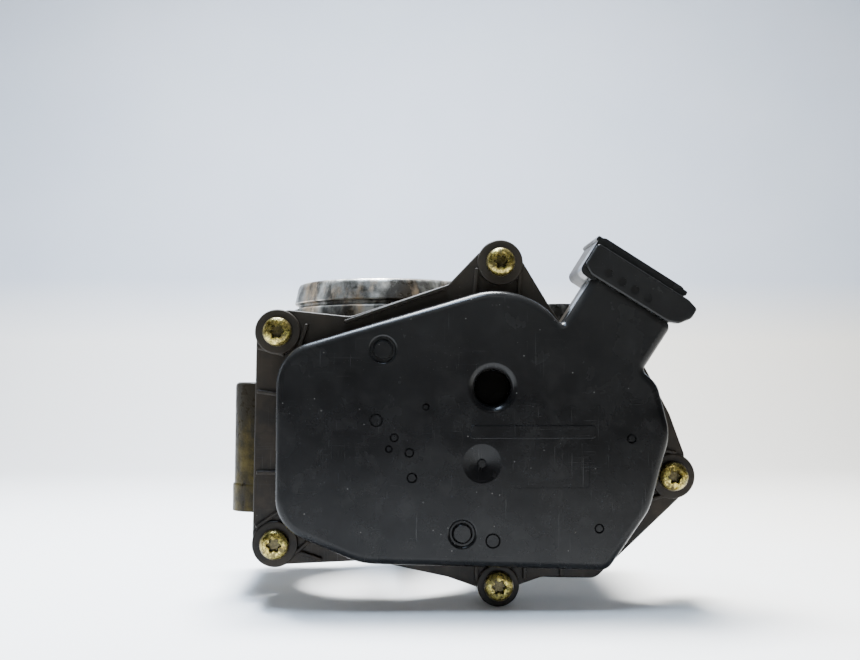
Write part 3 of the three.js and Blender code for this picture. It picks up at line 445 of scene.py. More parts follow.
class Nodes:
    """Short calls for building one material's node tree in object coordinates, in millimetres."""

    def __init__(self, name):
        self.material = bpy.data.materials.new(name)
        self.material.use_nodes = True
        self.tree = self.material.node_tree
        self.shader = self.tree.nodes["Principled BSDF"]
        place = self.tree.nodes.new("ShaderNodeTexCoord")
        scale = self.tree.nodes.new("ShaderNodeVectorMath")
        scale.operation = "SCALE"
        scale.inputs["Scale"].default_value = 1 / MM
        self.link(place.outputs["Object"], scale.inputs[0])
        self.place = scale.outputs[0]

    def link(self, source, target):
        self.tree.links.new(source, target)

    def put(self, socket, value):
        if isinstance(value, bpy.types.NodeSocket):
            self.link(value, socket)
        else:
            socket.default_value = value

    def stretched(self, scale, turn=(0, 0, 0)):
        node = self.tree.nodes.new("ShaderNodeMapping")
        node.inputs["Scale"].default_value = scale
        node.inputs["Rotation"].default_value = turn
        self.link(self.place, node.inputs["Vector"])
        return node.outputs[0]

    def noise(self, size, detail=4.0, rough=0.55, distortion=0.0, place=None):
        """Noise whose features are about size millimetres across."""
        node = self.tree.nodes.new("ShaderNodeTexNoise")
        node.inputs["Scale"].default_value = 1 / size
        node.inputs["Detail"].default_value = detail
        node.inputs["Roughness"].default_value = rough
        node.inputs["Distortion"].default_value = distortion
        self.link(place or self.place, node.inputs["Vector"])
        return node.outputs["Fac"]

    def cells(self, size):
        node = self.tree.nodes.new("ShaderNodeTexVoronoi")
        node.inputs["Scale"].default_value = 1 / size
        self.link(self.place, node.inputs["Vector"])
        return node.outputs["Distance"]

    def ramp(self, value, low, high, bottom=0.0, top=1.0):
        node = self.tree.nodes.new("ShaderNodeMapRange")
        node.clamp = True
        for key, number in zip(("From Min", "From Max", "To Min", "To Max"), (low, high, bottom, top)):
            node.inputs[key].default_value = number
        self.link(value, node.inputs["Value"])
        return node.outputs[0]

    def calc(self, how, first, second):
        node = self.tree.nodes.new("ShaderNodeMath")
        node.operation = how
        self.put(node.inputs[0], first)
        self.put(node.inputs[1], second)
        return node.outputs[0]

    def mix(self, share, first, second):
        node = self.tree.nodes.new("ShaderNodeMix")
        node.data_type = "RGBA"
        self.put(node.inputs["Factor"], share)
        for socket, value in ((node.inputs[6], first), (node.inputs[7], second)):
            self.put(socket, (*value, 1) if isinstance(value, tuple) else value)
        return node.outputs[2]

    def part_of_place(self, axis):
        node = self.tree.nodes.new("ShaderNodeSeparateXYZ")
        self.link(self.place, node.inputs[0])
        return node.outputs[axis]

    def bump(self, height, depth, under=None):
        """Bump of a given depth in millimetres."""
        node = self.tree.nodes.new("ShaderNodeBump")
        node.inputs["Distance"].default_value = depth * MM
        self.link(height, node.inputs["Height"])
        if under:
            self.link(under, node.inputs["Normal"])
        return node.outputs[0]

    def finish(self, colour, roughness, normal, metallic=0.0):
        self.put(self.shader.inputs["Base Color"], colour)
        self.put(self.shader.inputs["Roughness"], roughness)
        self.link(normal, self.shader.inputs["Normal"])
        self.put(self.shader.inputs["Metallic"], metallic)
        return self.material


def moulded_plastic():
    """The cover: near-black nylon, satin on the dome, brown and oil stained on the flange, with dust and
    light scratches. Painted light pales it towards the top, and painted shade darkens the pocket."""
    n = Nodes("moulded_plastic")
    cloud = n.ramp(n.noise(20, 5, 0.6, 0.4), 0.36, 0.66)
    film = n.ramp(n.noise(7, 5, 0.62, 0.3), 0.5, 0.74)
    colour = n.mix(cloud, (0.0012, 0.0012, 0.0014), (0.0045, 0.0043, 0.0044))
    colour = n.mix(n.calc("MULTIPLY", film, 0.5), colour, (0.014, 0.0135, 0.013))
    # Painted light: the dome and the flange are painted paler towards the top, as if lit from above
    painted_top_light = n.ramp(n.part_of_place("Z"), *PAINTED_LIGHT_HEIGHTS)
    colour = n.mix(n.calc("MULTIPLY", painted_top_light, 0.75), colour, (0.0165, 0.0162, 0.0155))
    depth = n.ramp(n.part_of_place("Y"), *FLANGE_COLOUR_LEVELS)
    oil = n.ramp(n.noise(8, 6, 0.65, 0.6), 0.36, 0.64)
    brown = n.mix(oil, (0.006, 0.0046, 0.0032), (0.019, 0.0135, 0.0085))
    brown = n.mix(n.calc("MULTIPLY", painted_top_light, 0.7), brown, (0.028, 0.0235, 0.0175))
    colour = n.mix(depth, colour, brown)
    specks = n.ramp(n.cells(2.3), 0.085, 0.05)
    rare = n.ramp(n.noise(6, 2), 0.54, 0.57)
    dust = n.calc("MULTIPLY", specks, rare)
    colour = n.mix(n.calc("MULTIPLY", dust, 0.55), colour, (0.15, 0.145, 0.135))
    fine = n.calc("MULTIPLY", n.ramp(n.cells(0.9), 0.12, 0.07), n.ramp(n.noise(11, 3), 0.5, 0.62))
    colour = n.mix(n.calc("MULTIPLY", fine, 0.3), colour, (0.09, 0.088, 0.084))
    scratch_a = n.ramp(n.noise(1, 2, 0.5, 0.3, n.stretched((0.07, 1, 2.4), (0, 0.9, 0))), 0.66, 0.69)
    scratch_b = n.ramp(n.noise(1, 2, 0.5, 0.3, n.stretched((2.4, 1, 0.06), (0, 0.22, 0))), 0.67, 0.7)
    scratch_c = n.ramp(n.noise(1, 2, 0.5, 0.2, n.stretched((0.1, 1, 3.2), (0, -0.4, 0))), 0.68, 0.7)
    patch = n.ramp(n.noise(12, 4, 0.6), 0.47, 0.6)
    marks = n.calc("MAXIMUM", n.calc("MULTIPLY", scratch_a, 0.25), scratch_b)
    marks = n.calc("MAXIMUM", marks, n.calc("MULTIPLY", scratch_c, 0.4))
    scratches = n.calc("MULTIPLY", marks, patch)
    colour = n.mix(n.calc("MULTIPLY", scratches, 0.25), colour, (0.075, 0.074, 0.072))
    rough = n.ramp(n.noise(9, 4, 0.55, 0.2), 0.3, 0.7, 0.17, 0.31)
    rough = n.calc("ADD", rough, n.calc("MULTIPLY", depth, 0.2))
    rough = n.calc("ADD", rough, n.calc("MULTIPLY", dust, 0.25))
    across = n.calc("SUBTRACT", n.part_of_place("X"), GEAR_AXIS[0])
    along = n.calc("SUBTRACT", n.part_of_place("Z"), GEAR_AXIS[1])
    reach = n.calc("SQRT", n.calc("ADD", n.calc("POWER", across, 2.0), n.calc("POWER", along, 2.0)), 0.0)
    # Painted shade: inside the pocket's rim and deeper down, the colour is darkened and the specular lowered
    painted_pocket_shade = n.calc("MULTIPLY", n.ramp(reach, *POCKET_SHADE_RADII),
                  n.ramp(n.part_of_place("Y"), *POCKET_SHADE_LEVELS))
    colour = n.mix(painted_pocket_shade, colour, (0.0016, 0.0014, 0.0012))
    n.link(n.ramp(painted_pocket_shade, 0.0, 1.0, 0.16, 0.03), n.shader.inputs["Specular IOR Level"])
    grain = n.bump(n.noise(0.24, 3, 0.6), 0.005)
    sink = n.bump(n.noise(18, 2, 0.5), 0.2, grain)
    normal = n.bump(n.calc("SUBTRACT", 1.0, scratches), 0.01, sink)
    return n.finish(colour, rough, normal)


def cast_aluminium():
    """The housing: a grained casting, silver at the snout, olive-brown below and oil stained all over."""
    n = Nodes("cast_aluminium")
    height = n.part_of_place("Z")
    streaks = n.stretched((1.3, 1.3, 0.6))
    silver = n.mix(n.ramp(n.noise(6, 6, 0.6, 0.1), 0.36, 0.64), (0.07, 0.066, 0.056), (0.5, 0.49, 0.45))
    olive = n.mix(n.ramp(n.noise(4, 7, 0.7, 0.2), 0.38, 0.62), (0.013, 0.0095, 0.0022), (0.05, 0.037, 0.0085))
    high = n.ramp(n.calc("ADD", height, n.calc("MULTIPLY", n.noise(9, 3), 6)), *SILVER_HEIGHTS)
    colour = n.mix(high, olive, silver)
    tan = n.ramp(n.noise(11, 5, 0.6, 0.1, streaks), 0.52, 0.62)
    colour = n.mix(n.calc("MULTIPLY", n.calc("MULTIPLY", tan, high), 0.7), colour, (0.5, 0.36, 0.22))
    oil = n.ramp(n.noise(12, 7, 0.66, 0.1, streaks), 0.45, 0.56)
    colour = n.mix(n.calc("MULTIPLY", oil, 0.94), colour, (0.012, 0.0095, 0.006))
    rough = n.ramp(n.noise(2.2, 5, 0.6), 0.3, 0.7, 0.3, 0.55)
    rough = n.calc("SUBTRACT", rough, n.calc("MULTIPLY", oil, 0.1))
    shine = n.ramp(oil, 0.0, 1.0, 0.85, 0.1)
    metallic = n.calc("MULTIPLY", shine, n.ramp(high, 0.0, 1.0, 0.1, 1.0))
    n.link(n.ramp(high, 0.0, 1.0, 0.12, 0.5), n.shader.inputs["Specular IOR Level"])
    grain = n.bump(n.noise(0.5, 4, 0.6), 0.05)
    normal = n.bump(n.noise(4, 4, 0.6), 0.16, grain)
    return n.finish(colour, rough, normal, metallic)


def yellow_zinc():
    """The cover screws: mottled green-gold zinc, dark dirt in patches, painted shade low on the head."""
    n = Nodes("yellow_zinc")
    colour = n.mix(n.ramp(n.noise(1.3, 5, 0.65, 0.8), 0.38, 0.62), (0.11, 0.078, 0.008), (0.62, 0.5, 0.15))
    green = n.ramp(n.noise(2.1, 4, 0.6, 0.5), 0.52, 0.6)
    colour = n.mix(n.calc("MULTIPLY", green, 0.6), colour, (0.3, 0.29, 0.07))
    # Painted shade: the head's side and the recess floor are darkened in the dirt's colour
    hollow = n.ramp(n.part_of_place("Y"), *SCREW_PAINTED_SHADE_LEVELS)
    dirt = n.ramp(n.noise(1.1, 5, 0.7, 0.4), 0.46, 0.56)
    dirt_and_painted_shade = n.calc("MAXIMUM", n.calc("MULTIPLY", dirt, 0.8), n.calc("MULTIPLY", hollow, 0.9))
    colour = n.mix(dirt_and_painted_shade, colour, (0.03, 0.022, 0.005))
    rough = n.ramp(n.noise(0.8, 5, 0.6), 0.3, 0.7, 0.16, 0.4)
    normal = n.bump(n.noise(0.7, 4, 0.65), 0.09)
    return n.finish(colour, rough, normal, n.ramp(dirt_and_painted_shade, 0.0, 1.0, 1.0, 0.4))


def worn_surface(name, light, dark, size, rough_low, rough_high, metallic, grain_size, grain_depth):
    """A two-tone surface with clouds, fine grain and darker stains."""
    n = Nodes(name)
    colour = n.mix(n.ramp(n.noise(size, 5, 0.6, 0.4), 0.35, 0.65), dark, light)
    spots = n.ramp(n.noise(size * 0.45, 5, 0.65, 0.6), 0.56, 0.68)
    colour = n.mix(n.calc("MULTIPLY", spots, STAIN_STRENGTH), colour, STAIN_COLOUR)
    rough = n.ramp(n.noise(size * 0.3, 4, 0.6), 0.3, 0.7, rough_low, rough_high)
    normal = n.bump(n.noise(grain_size, 3, 0.6), grain_depth)
    return n.finish(colour, rough, normal, metallic)


def make_materials():
    """One material for each slot. A row is worn_surface's light, dark, size, roughnesses and so on."""
    rows = {
        "black_rubber": ((0.022, 0.021, 0.02), (0.011, 0.011, 0.011), 4, 0.6, 0.8, 0.0, 0.3, 0.02),
        "steel": ((0.62, 0.61, 0.6), (0.42, 0.41, 0.4), 3, 0.22, 0.4, 1.0, 0.25, 0.006),
        "brass": ((0.78, 0.6, 0.3), (0.5, 0.36, 0.15), 4, 0.25, 0.45, 1.0, 0.3, 0.008),
        "gear_plastic": ((0.2, 0.17, 0.12), (0.13, 0.11, 0.08), 5, 0.4, 0.55, 0.0, 0.4, 0.012),
        "magnet": ((0.16, 0.16, 0.17), (0.09, 0.09, 0.1), 2, 0.4, 0.6, 0.6, 0.2, 0.02),
        "copper": ((0.72, 0.36, 0.2), (0.45, 0.2, 0.1), 2, 0.28, 0.45, 1.0, 0.3, 0.02),
        "board_green": ((0.03, 0.17, 0.07), (0.015, 0.1, 0.04), 3, 0.3, 0.42, 0.0, 0.5, 0.01),
        "carbon": ((0.04, 0.04, 0.04), (0.02, 0.02, 0.02), 1.2, 0.5, 0.7, 0.1, 0.15, 0.02),
        "tin_plate": ((0.75, 0.75, 0.72), (0.55, 0.55, 0.52), 1.5, 0.2, 0.35, 1.0, 0.2, 0.004),
    }
    made = {slot: worn_surface(slot, *row) for slot, row in rows.items()}
    made["black_plastic"] = moulded_plastic()
    made["cast_aluminium"] = cast_aluminium()
    made["zinc_steel"] = yellow_zinc()
    return made


MATERIALS = make_materials()
SLOT_OF = {row["node"]: row["material_slot"] for row in frame["record"]["subparts"]}
BODY_OF = {node: body for body, nodes in frame["record"]["behaviour"]["bodies"].items() for node in nodes}


def dress(piece, node):
    """A new piece takes its CAD node's place, body, slot and material."""
    slot = SLOT_OF[node]
    return finish_piece(piece, node + "_fine", BODY_OF[node], node, MATERIALS[slot])


# ---------------------------------------------------------------- gear cover

def on_hood(u, v):
    return polar(polar(HOOD_CENTRE, u, -HOOD_TILT), v, math.pi / 2 - HOOD_TILT)


def hood_plate(corners, back, front, fillet=0.0, back_fillet=0.0):
    """A plate whose corners (u, v, radius) lie along and across the connector hood."""
    placed = [(*on_hood(u, v), radius) for u, v, radius in corners]
    return plate(placed, back, front, fillet, 0.0, back_fillet, steps=4)


def hood_block(left, right, low, high, back, front, radius, fillet=0.0, back_fillet=0.0):
    corners = [(left, low, radius), (right, low, radius), (right, high, radius), (left, high, radius)]
    return hood_plate(corners, back, front, fillet, back_fillet)


def hood_pieces():
    """The hood's front face, its box and the collar round its rim."""
    return [
        hood_plate(HOOD_FACE, HOOD_FRONT + 3, HOOD_FRONT, 0.6, 0.3),
        hood_block(HOOD_LEFT, HOOD_RIGHT, HOOD_LOW, HOOD_RIM, HOOD_BACK, HOOD_FRONT + 2, 2, 0, 0.8),
        hood_block(HOOD_LEFT - HOOD_COLLAR, HOOD_RIGHT + HOOD_COLLAR, HOOD_RIM - 1.7, HOOD_RIM - 0.2,
                   HOOD_BACK + 0.4, HOOD_FRONT + 2.5, 0.5, 0.3, 0.3),
    ]


def flange_ribs():
    """The thin ribs in front of the cover's flange."""
    ribs = [
        ((-11.3, 52.9), (16.7, 62.6)), ((-34.9, -2.6), (-27.5, 2.4)), ((-27.5, -12.4), (-20.5, -6.4)),
        ((-23, -9.4), (-17.2, -11.4)), ((-21.5, 52.4), (-24, 44)), ((25.2, 68), (24.4, 58)),
        ((37.2, 67), (36.6, 58)), ((24.8, -17.4), (24.8, -10)), ((38, -17), (38, -10)),
        ((71, 19.4), (80, 17)), ((64, 2), (77, 5.6)), ((48, -16.2), (48, -10)),
        ((-34.9, 46), (-27.5, 44)), ((-34.9, 34), (-28, 33)), ((-34.9, 12), (-28, 12)), ((6, -13), (6, -9)),
    ]
    return [wall(start, end, RIB_WIDTH, COVER_BACK - 1, FLANGE_FRONT - 1.2) for start, end in ribs]


def grooved_boss(axis):
    """The ring groove round one small boss on the dome's face."""
    face = DOME_FRONT
    return turned([(2.2, face - 1), (4.2, face - 1), (4.1, face), (3.6, face + 0.3), (3.3, face + 0.75),
                   (2.8, face + 0.75), (2.5, face + 0.35), (2.2, face)], axis, HOLE_SEGMENTS)


def ejector_mark(x, z, radius):
    """A thin round groove, left by an ejector pin of the mould."""
    face = DOME_FRONT
    return turned([(radius - 0.5, face - 1), (radius + 0.1, face - 1), (radius, face + 0.12),
                   (radius - 0.2, face + 0.32), (radius - 0.4, face + 0.12)], (x, z), SMALL_SEGMENTS)


def gate_mark():
    """The shallow dish round the mould's gate, with the gate's stub in its middle."""
    face = DOME_FRONT
    return turned([(0, face - 1), (5.2, face - 1), (5.2, face + 0.1), (4.2, face + 0.25), (1.1, face + 0.75),
                   (1, face - 0.05), (0, face - 0.15)], GATE, HOLE_SEGMENTS)


def face_cuts():
    """Shallow marks on the dome's face and on the hood: grooves, a gate, a plain panel and dimples."""
    grooved = [grooved_boss(axis) for axis in GROOVED_BOSSES]
    ejectors = [ejector_mark(*mark) for mark in EJECTOR_MARKS]
    gate = gate_mark()
    panel = plate(SUNK_PANEL, DOME_FRONT + 0.25, DOME_FRONT - 1)
    dimples = [bar(DIMPLE_RADIUS, HOOD_FRONT + 0.45, HOOD_FRONT - 1, on_hood(u, -0.6), 0, TINY_SEGMENTS)
               for u in HOOD_DIMPLES]
    return [*grooved, *ejectors, gate, panel, *dimples]


def face_raised():
    """A plain raised strip on the dome's face."""
    return plate(RAISED_STRIP, DOME_FRONT + 0.5, DOME_FRONT - 0.3, 0.25)


def cover_boss(x, z, radius):
    return bar(radius, COVER_BACK - 0.15, BOSS_FRONT, (x, z), 0.5)


def gear_cover():
    outer = joined("cover", [
        plate(FLANGE, COVER_BACK, FLANGE_FRONT, 0.5, 0, 0.3),
        plate(DOME, COVER_BACK - 0.6, DOME_FRONT, 2.3, steps=8),
        *[cover_boss(*screw) for screw in COVER_SCREWS],
        *flange_ribs(),
        *hood_pieces(),
        face_raised(),
    ])
    slots = [hood_block(u - TERMINAL_HALF_WIDTH, u + TERMINAL_HALF_WIDTH, TERMINAL_DEPTH, 0, TERMINAL_BACK,
                        TERMINAL_FRONT, 0.1) for u in TERMINALS]
    hollow = cut("cover", outer, [
        plate(CASE, COVER_BACK + 1, FLANGE_FRONT - 1, 0, CAVITY_INSET),
        plate(DOME, FLANGE_FRONT + 0.5, DOME_FRONT + COVER_WALL, 0.6, COVER_WALL),
        hood_block(HOOD_LEFT + HOOD_WALL, HOOD_RIGHT - HOOD_WALL, HOOD_FLOOR, HOOD_RIM + 1,
                   HOOD_BACK - HOOD_WALL, HOOD_FRONT + 2 * HOOD_WALL, 1, 0.4, 0.4),
        *slots,
    ])
    post = bar(POCKET_POST_RADIUS, POCKET_FLOOR + 1.5, DOME_FRONT + 1, GEAR_AXIS)
    shell = joined("cover", [hollow, post])
    pocket = turned([(0, DOME_FRONT - 1), (7.0, DOME_FRONT - 1), (6.8, DOME_FRONT), (6.2, DOME_FRONT + 0.22),
                     (5.5, DOME_FRONT + 0.7), (5, DOME_FRONT + 1.3), (4.8, DOME_FRONT + 2.1),
                     (POCKET_RADIUS, POCKET_FLOOR - 0.5), (POCKET_RADIUS - 0.5, POCKET_FLOOR),
                     (0, POCKET_FLOOR)], GEAR_AXIS)
    holes = [bar(SCREW_HOLE_RADIUS, COVER_BACK + 1, BOSS_FRONT - 1, (x, z), 0, SMALL_SEGMENTS)
             for x, z, _ in COVER_SCREWS]
    return cut("cover", shell, [pocket, *holes, *face_cuts()])


def terminal_places():
    """Each terminal's place along the hood, from the frame's own terminals."""
    places = []
    for number in range(1, 6):
        low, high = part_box(f"connector_terminal_{number}")
        x, z = (low[0] + high[0]) / 2 / MM - HOOD_CENTRE[0], (low[2] + high[2]) / 2 / MM - HOOD_CENTRE[1]
        places.append(x * math.cos(HOOD_TILT) - z * math.sin(HOOD_TILT))
    return places


TERMINALS = terminal_places()


# ---------------------------------------------------------------- screws

def cover_screw(x, z):
    """A pan-head screw with a six-lobe recess and a rounded head."""
    seat = BOSS_FRONT - 0.05
    profile = [(0, -24.02), (1.2, -24.02), (1.85, -24.8), (1.85, seat), (3.6, seat), (3.85, seat - 0.12),
               (SCREW_HEAD_RADIUS - 0.02, seat - 0.4), (SCREW_HEAD_RADIUS - 0.02, seat - 1.35),
               (3.86, seat - 1.75), (3.5, seat - 2.2), (3, seat - 2.5), (2.4, seat - 2.7), (0, seat - 2.78)]
    lobes = []
    for n in range(LOBE_POINTS):
        angle = 2 * math.pi * n / LOBE_POINTS
        lobes.append(polar((x, z), RECESS_RADIUS + LOBE_HEIGHT * math.cos(LOBE_COUNT * angle), angle))
    rings = [[(x + (px - x) * s, y, z + (pz - z) * s) for px, pz in lobes]
             for y, s in ((seat - 0.9, 0.86), (seat - 2.45, 0.97), (seat - 2.85, 1.16), (seat - 4, 1.16))]
    return cut("screw", turned(profile, (x, z)), [loft(rings)])


# ---------------------------------------------------------------- housing

def barrel():
    """The barrel's outside, from its foot in the base plate up to the snout's bead, groove and rim."""
    r = BARREL_RADIUS
    base = BASE_THICKNESS
    top = BARREL_TOP
    return turned([
        (0, 0), (30.6, 0), (31, 0.4), (31, base - 0.6), (30.6, base), (r + 0.9, base + 1),
        (r + 0.2, base + 3), (r, 14), (r, 52.5), (r + 0.3, 53.8), (r + 0.9, 54.8), (r + 1, 55.4),
        (r + 1, 58.2), (r + 0.8, 58.7), (r - 0.5, 59.2), (r - 0.85, 59.5), (r - 0.85, 60.1), (r - 0.5, 60.4),
        (r + 0.1, 60.5), (r + 0.3, 60.8), (r - 0.62, top - 1.3), (r - 0.8, top - 0.7), (r - 1.15, top - 0.2),
        (r - 1.6, top), (0, top),
    ], (0, 0), BARREL_SEGMENTS, True)


def base_plate():
    reach = COLUMN_RADIUS + 0.5
    corners = [(x + math.copysign(reach, x), y + math.copysign(reach, y), 8) for x, y in COLUMNS]
    front_left, back_left, front_right, back_right = corners
    return upright_plate([front_left, front_right, back_right, back_left], 0, BASE_THICKNESS, 0.8)


def column(x, y):
    r = COLUMN_RADIUS
    profile = [(0, 0), (r, 0), (r, 0.5), (r - 0.12, COLUMN_HEIGHT - 1.1), (r - 0.4, COLUMN_HEIGHT - 0.4),
               (r - 1, COLUMN_HEIGHT), (0, COLUMN_HEIGHT)]
    return turned(profile, (x, y), FINE_SEGMENTS, True)


def housing_ribs():
    ribs = [box((x - math.copysign(8, x) - 7, y * 0.98 - 1.5, 0.5),
                (x - math.copysign(8, x) + 7, y * 0.98 + 1.5, COLUMN_HEIGHT - 6), 0.8) for x, y in COLUMNS]
    ribs += [box((side * 18 - 1.5, -31, 27), (side * 18 + 1.5, -19, 53), 0.8) for side in (-1, 1)]
    ribs.append(box((-1.5, 25, SHAFT_AXIS[1] - 17), (1.5, 37, SHAFT_AXIS[1] - 7)))
    return ribs


def rounded_bar(radius, back, front, centre, fillet):
    """A round bar along Y whose back edge is rounded."""
    profile = [(0, back)]
    for n in range(BAR_ARC_STEPS + 1):
        angle = math.pi / 2 * n / BAR_ARC_STEPS
        profile.append((radius - fillet * (1 - math.sin(angle)), back - fillet * (1 - math.cos(angle))))
    return turned([*profile, (radius, front), (0, front)], centre)


def motor_webs():
    """Two webs that tie the motor's pocket to the barrel and to the base plate."""
    x, z = MOTOR_AXIS
    return [box((x - 27, -27, z - 7), (x - 9, 3, z + 7), 1), box((x - 29, -27, 2.5), (x - 3, -3, 5.5), 1)]


def housing_castings():
    """The housing before it is hollowed, with all its walls, bosses, webs and ribs joined."""
    return joined("housing", [
        barrel(),
        base_plate(),
        *[column(x, y) for x, y in COLUMNS],
        plate(CASE, CASE_BACK, PARTING, 0, -0.8, 1.2),
        plate(NOTCH, CASE_BACK - 1, PARTING, 0, 0, 0.8),
        plate(FLANGE, PARTING + 3.5, PARTING, 0.2, 0.4, 0.6),
        rounded_bar(MOTOR_RADIUS + 3, MOTOR_REAR + 7, CASE_BACK - 1, MOTOR_AXIS, 2.2),
        *motor_webs(),
        rounded_bar(REAR_BOSS_RADIUS, REAR_BOSS_END, 20, SHAFT_AXIS, 1),
        *[rounded_bar(SCREW_POST_RADIUS, -22, PARTING, (x, z), 0.8) for x, z, _ in COVER_SCREWS],
        *housing_ribs(),
    ])


def motor_screw_axes():
    """Where the two motor screws are, from the frame."""
    axes = []
    for number in (1, 2):
        low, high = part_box(f"motor_screw_{number}")
        axes.append(((low[0] + high[0]) / 2 / MM, (low[2] + high[2]) / 2 / MM))
    return axes


def throttle_housing():
    cavity = plate(CASE, CASE_FLOOR, PARTING - 1, 0, CAVITY_INSET)
    posts = [bar(MOTOR_SCREW_POST_RADIUS, -21.5, CASE_FLOOR, axis, 0, 40) for axis in motor_screw_axes()]
    bosses = [bar(SPRING_SEAT_RADIUS, CASE_FLOOR + 1, -33.5, SHAFT_AXIS),
              bar(PIN_BOSS_RADIUS, CASE_FLOOR + 1, -33.8, GEAR_AXIS)]
    casting = joined("housing", [cut("housing", housing_castings(), [cavity]), *bosses, *posts])
    top = BARREL_TOP
    bore = [(0, -1), (BORE_RADIUS, -1), (BORE_RADIUS, top - 4), (BORE_RADIUS + 0.9, top - 1.4),
            (BORE_RADIUS + 1.1, top - 0.6), (BORE_RADIUS + 1.6, top - 0.1), (BORE_RADIUS + 2, top + 1),
            (0, top + 1)]
    hole = [(0, -1), (COLUMN_HOLE_RADIUS, -1), (COLUMN_HOLE_RADIUS, COLUMN_HEIGHT - 0.5),
            (COLUMN_HOLE_RADIUS + 0.6, COLUMN_HEIGHT + 0.1), (COLUMN_HOLE_RADIUS + 0.6, COLUMN_HEIGHT + 25),
            (0, COLUMN_HEIGHT + 25)]
    return cut("housing", casting, [
        turned(bore, (0, 0), BARREL_SEGMENTS, True),
        turned(SEAL_GROOVE, (0, 0), BARREL_SEGMENTS, True),
        *[turned(hole, place, HOLE_SEGMENTS, True) for place in COLUMNS],
        turned(SPRING_WELL, SHAFT_AXIS),
        bar(SHAFT_HOLE_RADIUS, 30, -30, SHAFT_AXIS),
        bar(BEARING_SEAT_RADIUS, FRONT_BEARING_BACK, PARTING, SHAFT_AXIS),
        bar(BEARING_SEAT_RADIUS, REAR_BOSS_END + 1, REAR_BEARING_FRONT, SHAFT_AXIS),
        bar(MOTOR_RADIUS + 0.3, MOTOR_REAR + 4, CASE_FLOOR - 1, MOTOR_AXIS),
        bar(PIN_HOLE_RADIUS, PIN_HOLE_BACK, PARTING, GEAR_AXIS, 0, SMALL_SEGMENTS),
        *[bar(MOTOR_SCREW_HOLE_RADIUS, -22.5, CASE_FLOOR - 1, axis, 0, TINY_SEGMENTS)
          for axis in motor_screw_axes()],
        *[bar(SCREW_THREAD_HOLE_RADIUS, -23.4, PARTING - 1, (x, z), 0, TINY_SEGMENTS)
          for x, z, _ in COVER_SCREWS],
    ])


# ---------------------------------------------------------------- the remaining nodes

def refined(node):
    """A finer copy of a CAD node: flat faces joined up and hard edges bevelled."""
    source = frame["nodes"][node]
    piece = bpy.data.objects.new(node, source.data.copy())
    bpy.context.scene.collection.objects.link(piece)
    made = bmesh.new()
    made.from_mesh(piece.data)
    made.transform(source.matrix_world)
    bmesh.ops.remove_doubles(made, verts=made.verts, dist=SAME_CAD_POINT)
    bmesh.ops.dissolve_limit(made, angle_limit=FLAT_ANGLE, verts=made.verts, edges=made.edges)
    made.to_mesh(piece.data)
    made.free()
    bevel = piece.modifiers.new("edges", "BEVEL")
    bevel.width = EDGE_BEVEL * MM
    bevel.segments = 2
    bevel.limit_method = "ANGLE"
    bevel.angle_limit = BEVEL_ANGLE
    return piece


# ---------------------------------------------------------------- stage

def surface_of_stage():
    """A pale sweep: a white floor, warmer at the right, and a wall that turns pale blue-grey with height."""
    n = Nodes("stage")
    # Painted shade: the sweep is painted darker and bluer up the wall, as if less light falls there
    share = n.ramp(n.part_of_place("Z"), WALL_SHADE_HEIGHTS[0], WALL_SHADE_HEIGHTS[1])
    warm = n.ramp(n.calc("ADD", n.part_of_place("X"), n.calc("MULTIPLY", n.noise(90, 3), 120)), 60, 260)
    floor = n.mix(warm, (0.88, 0.88, 0.875), (0.86, 0.82, 0.74))
    cloud = n.ramp(n.noise(160, 3), 0.3, 0.7)
    wall = n.mix(cloud, (0.5, 0.56, 0.66), (0.56, 0.61, 0.7))
    rough = n.ramp(n.noise(30, 3), 0.3, 0.7, 0.75, 0.85)
    return n.finish(n.mix(share, floor, wall), rough, n.bump(n.noise(3, 3), 0.02))


def stage_sweep():
    """The floor, which bends up into the wall behind."""
    profile = [(FLOOR_FRONT, 0), (SWEEP_START, 0)]
    for n in range(1, SWEEP_STEPS + 1):
        angle = math.pi / 2 * n / SWEEP_STEPS
        profile.append((SWEEP_START + SWEEP_RADIUS * math.sin(angle), SWEEP_RADIUS * (1 - math.cos(angle))))
    profile.append((SWEEP_START + SWEEP_RADIUS, WALL_HEIGHT))
    vertices, faces = [], []
    for y, z in profile:
        vertices += [(side * STAGE_HALF_WIDTH, y, FLOOR_LEVEL + z) for side in (-1, 1)]
    for i in range(len(profile) - 1):
        faces.append([2 * i, 2 * i + 1, 2 * i + 3, 2 * i + 2])
    mesh = bpy.data.meshes.new("sweep")
    mesh.from_pydata([Vector(v) * MM for v in vertices], [], faces)
    sweep = bpy.data.objects.new("sweep", mesh)
    bpy.context.scene.collection.objects.link(sweep)
    mesh.polygons.foreach_set("use_smooth", [True] * len(mesh.polygons))
    mesh.materials.append(surface_of_stage())


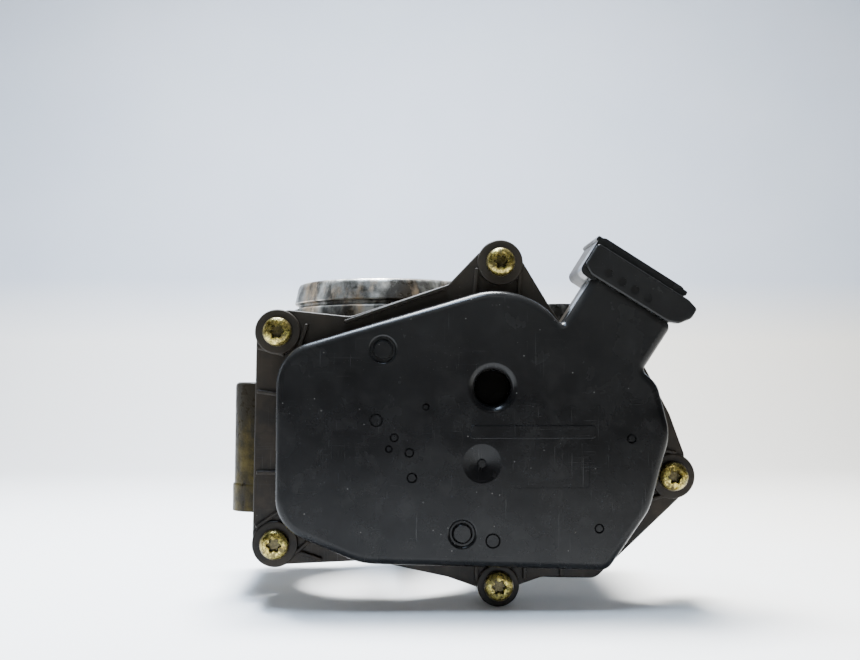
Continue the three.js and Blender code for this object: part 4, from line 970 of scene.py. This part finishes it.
def area_light(name, place, size, power, colour):
    data = bpy.data.lights.new(name, "AREA")
    data.shape = "RECTANGLE"
    data.size, data.size_y = size[0] * MM, size[1] * MM
    data.energy = power
    data.color = colour
    lamp = bpy.data.objects.new(name, data)
    lamp.location = Vector(place) * MM
    lamp.rotation_euler = (Vector(LIGHT_AIM) - Vector(place)).to_track_quat("-Z", "Y").to_euler()
    bpy.context.scene.collection.objects.link(lamp)


def light_stage():
    """A lamp overhead, a cool strip above the cover, weak fill at left and in front, and a dim room."""
    for light in LIGHTS:
        area_light(*light)
    world = bpy.data.worlds.new("studio")
    world.use_nodes = True
    tree = world.node_tree
    place = tree.nodes.new("ShaderNodeTexCoord")
    split = tree.nodes.new("ShaderNodeSeparateXYZ")
    ramp = tree.nodes.new("ShaderNodeMapRange")
    tree.links.new(place.outputs["Generated"], split.inputs[0])
    tree.links.new(split.outputs["Y"], ramp.inputs["Value"])
    for key, number in ROOM_FADE.items():
        ramp.inputs[key].default_value = number
    background = tree.nodes["Background"]
    background.inputs["Color"].default_value = ROOM_COLOUR
    tree.links.new(ramp.outputs[0], background.inputs["Strength"])
    bpy.context.scene.world = world


def make_camera():
    data = bpy.data.cameras.new("camera")
    data.lens = CAMERA_LENS
    data.sensor_width = SENSOR_WIDTH
    data.clip_start = CLIP_START
    camera = bpy.data.objects.new("camera", data)
    camera.location = Vector(CAMERA_PLACE) * MM
    camera.rotation_euler = (math.pi / 2 + CAMERA_PITCH, 0, -CAMERA_YAW)
    bpy.context.scene.collection.objects.link(camera)
    bpy.context.scene.camera = camera


make_camera()
stage_sweep()
light_stage()

# ---------------------------------------------------------------- build

made_nodes = ["gear_cover", "throttle_housing"]
dress(gear_cover(), "gear_cover")
dress(throttle_housing(), "throttle_housing")
for number, (x, z, _) in enumerate(COVER_SCREWS, 1):
    node = f"cover_screw_{number}"
    made_nodes.append(node)
    dress(cover_screw(x, z), node)
for node in frame["nodes"]:
    if node not in made_nodes:
        dress(refined(node), node)
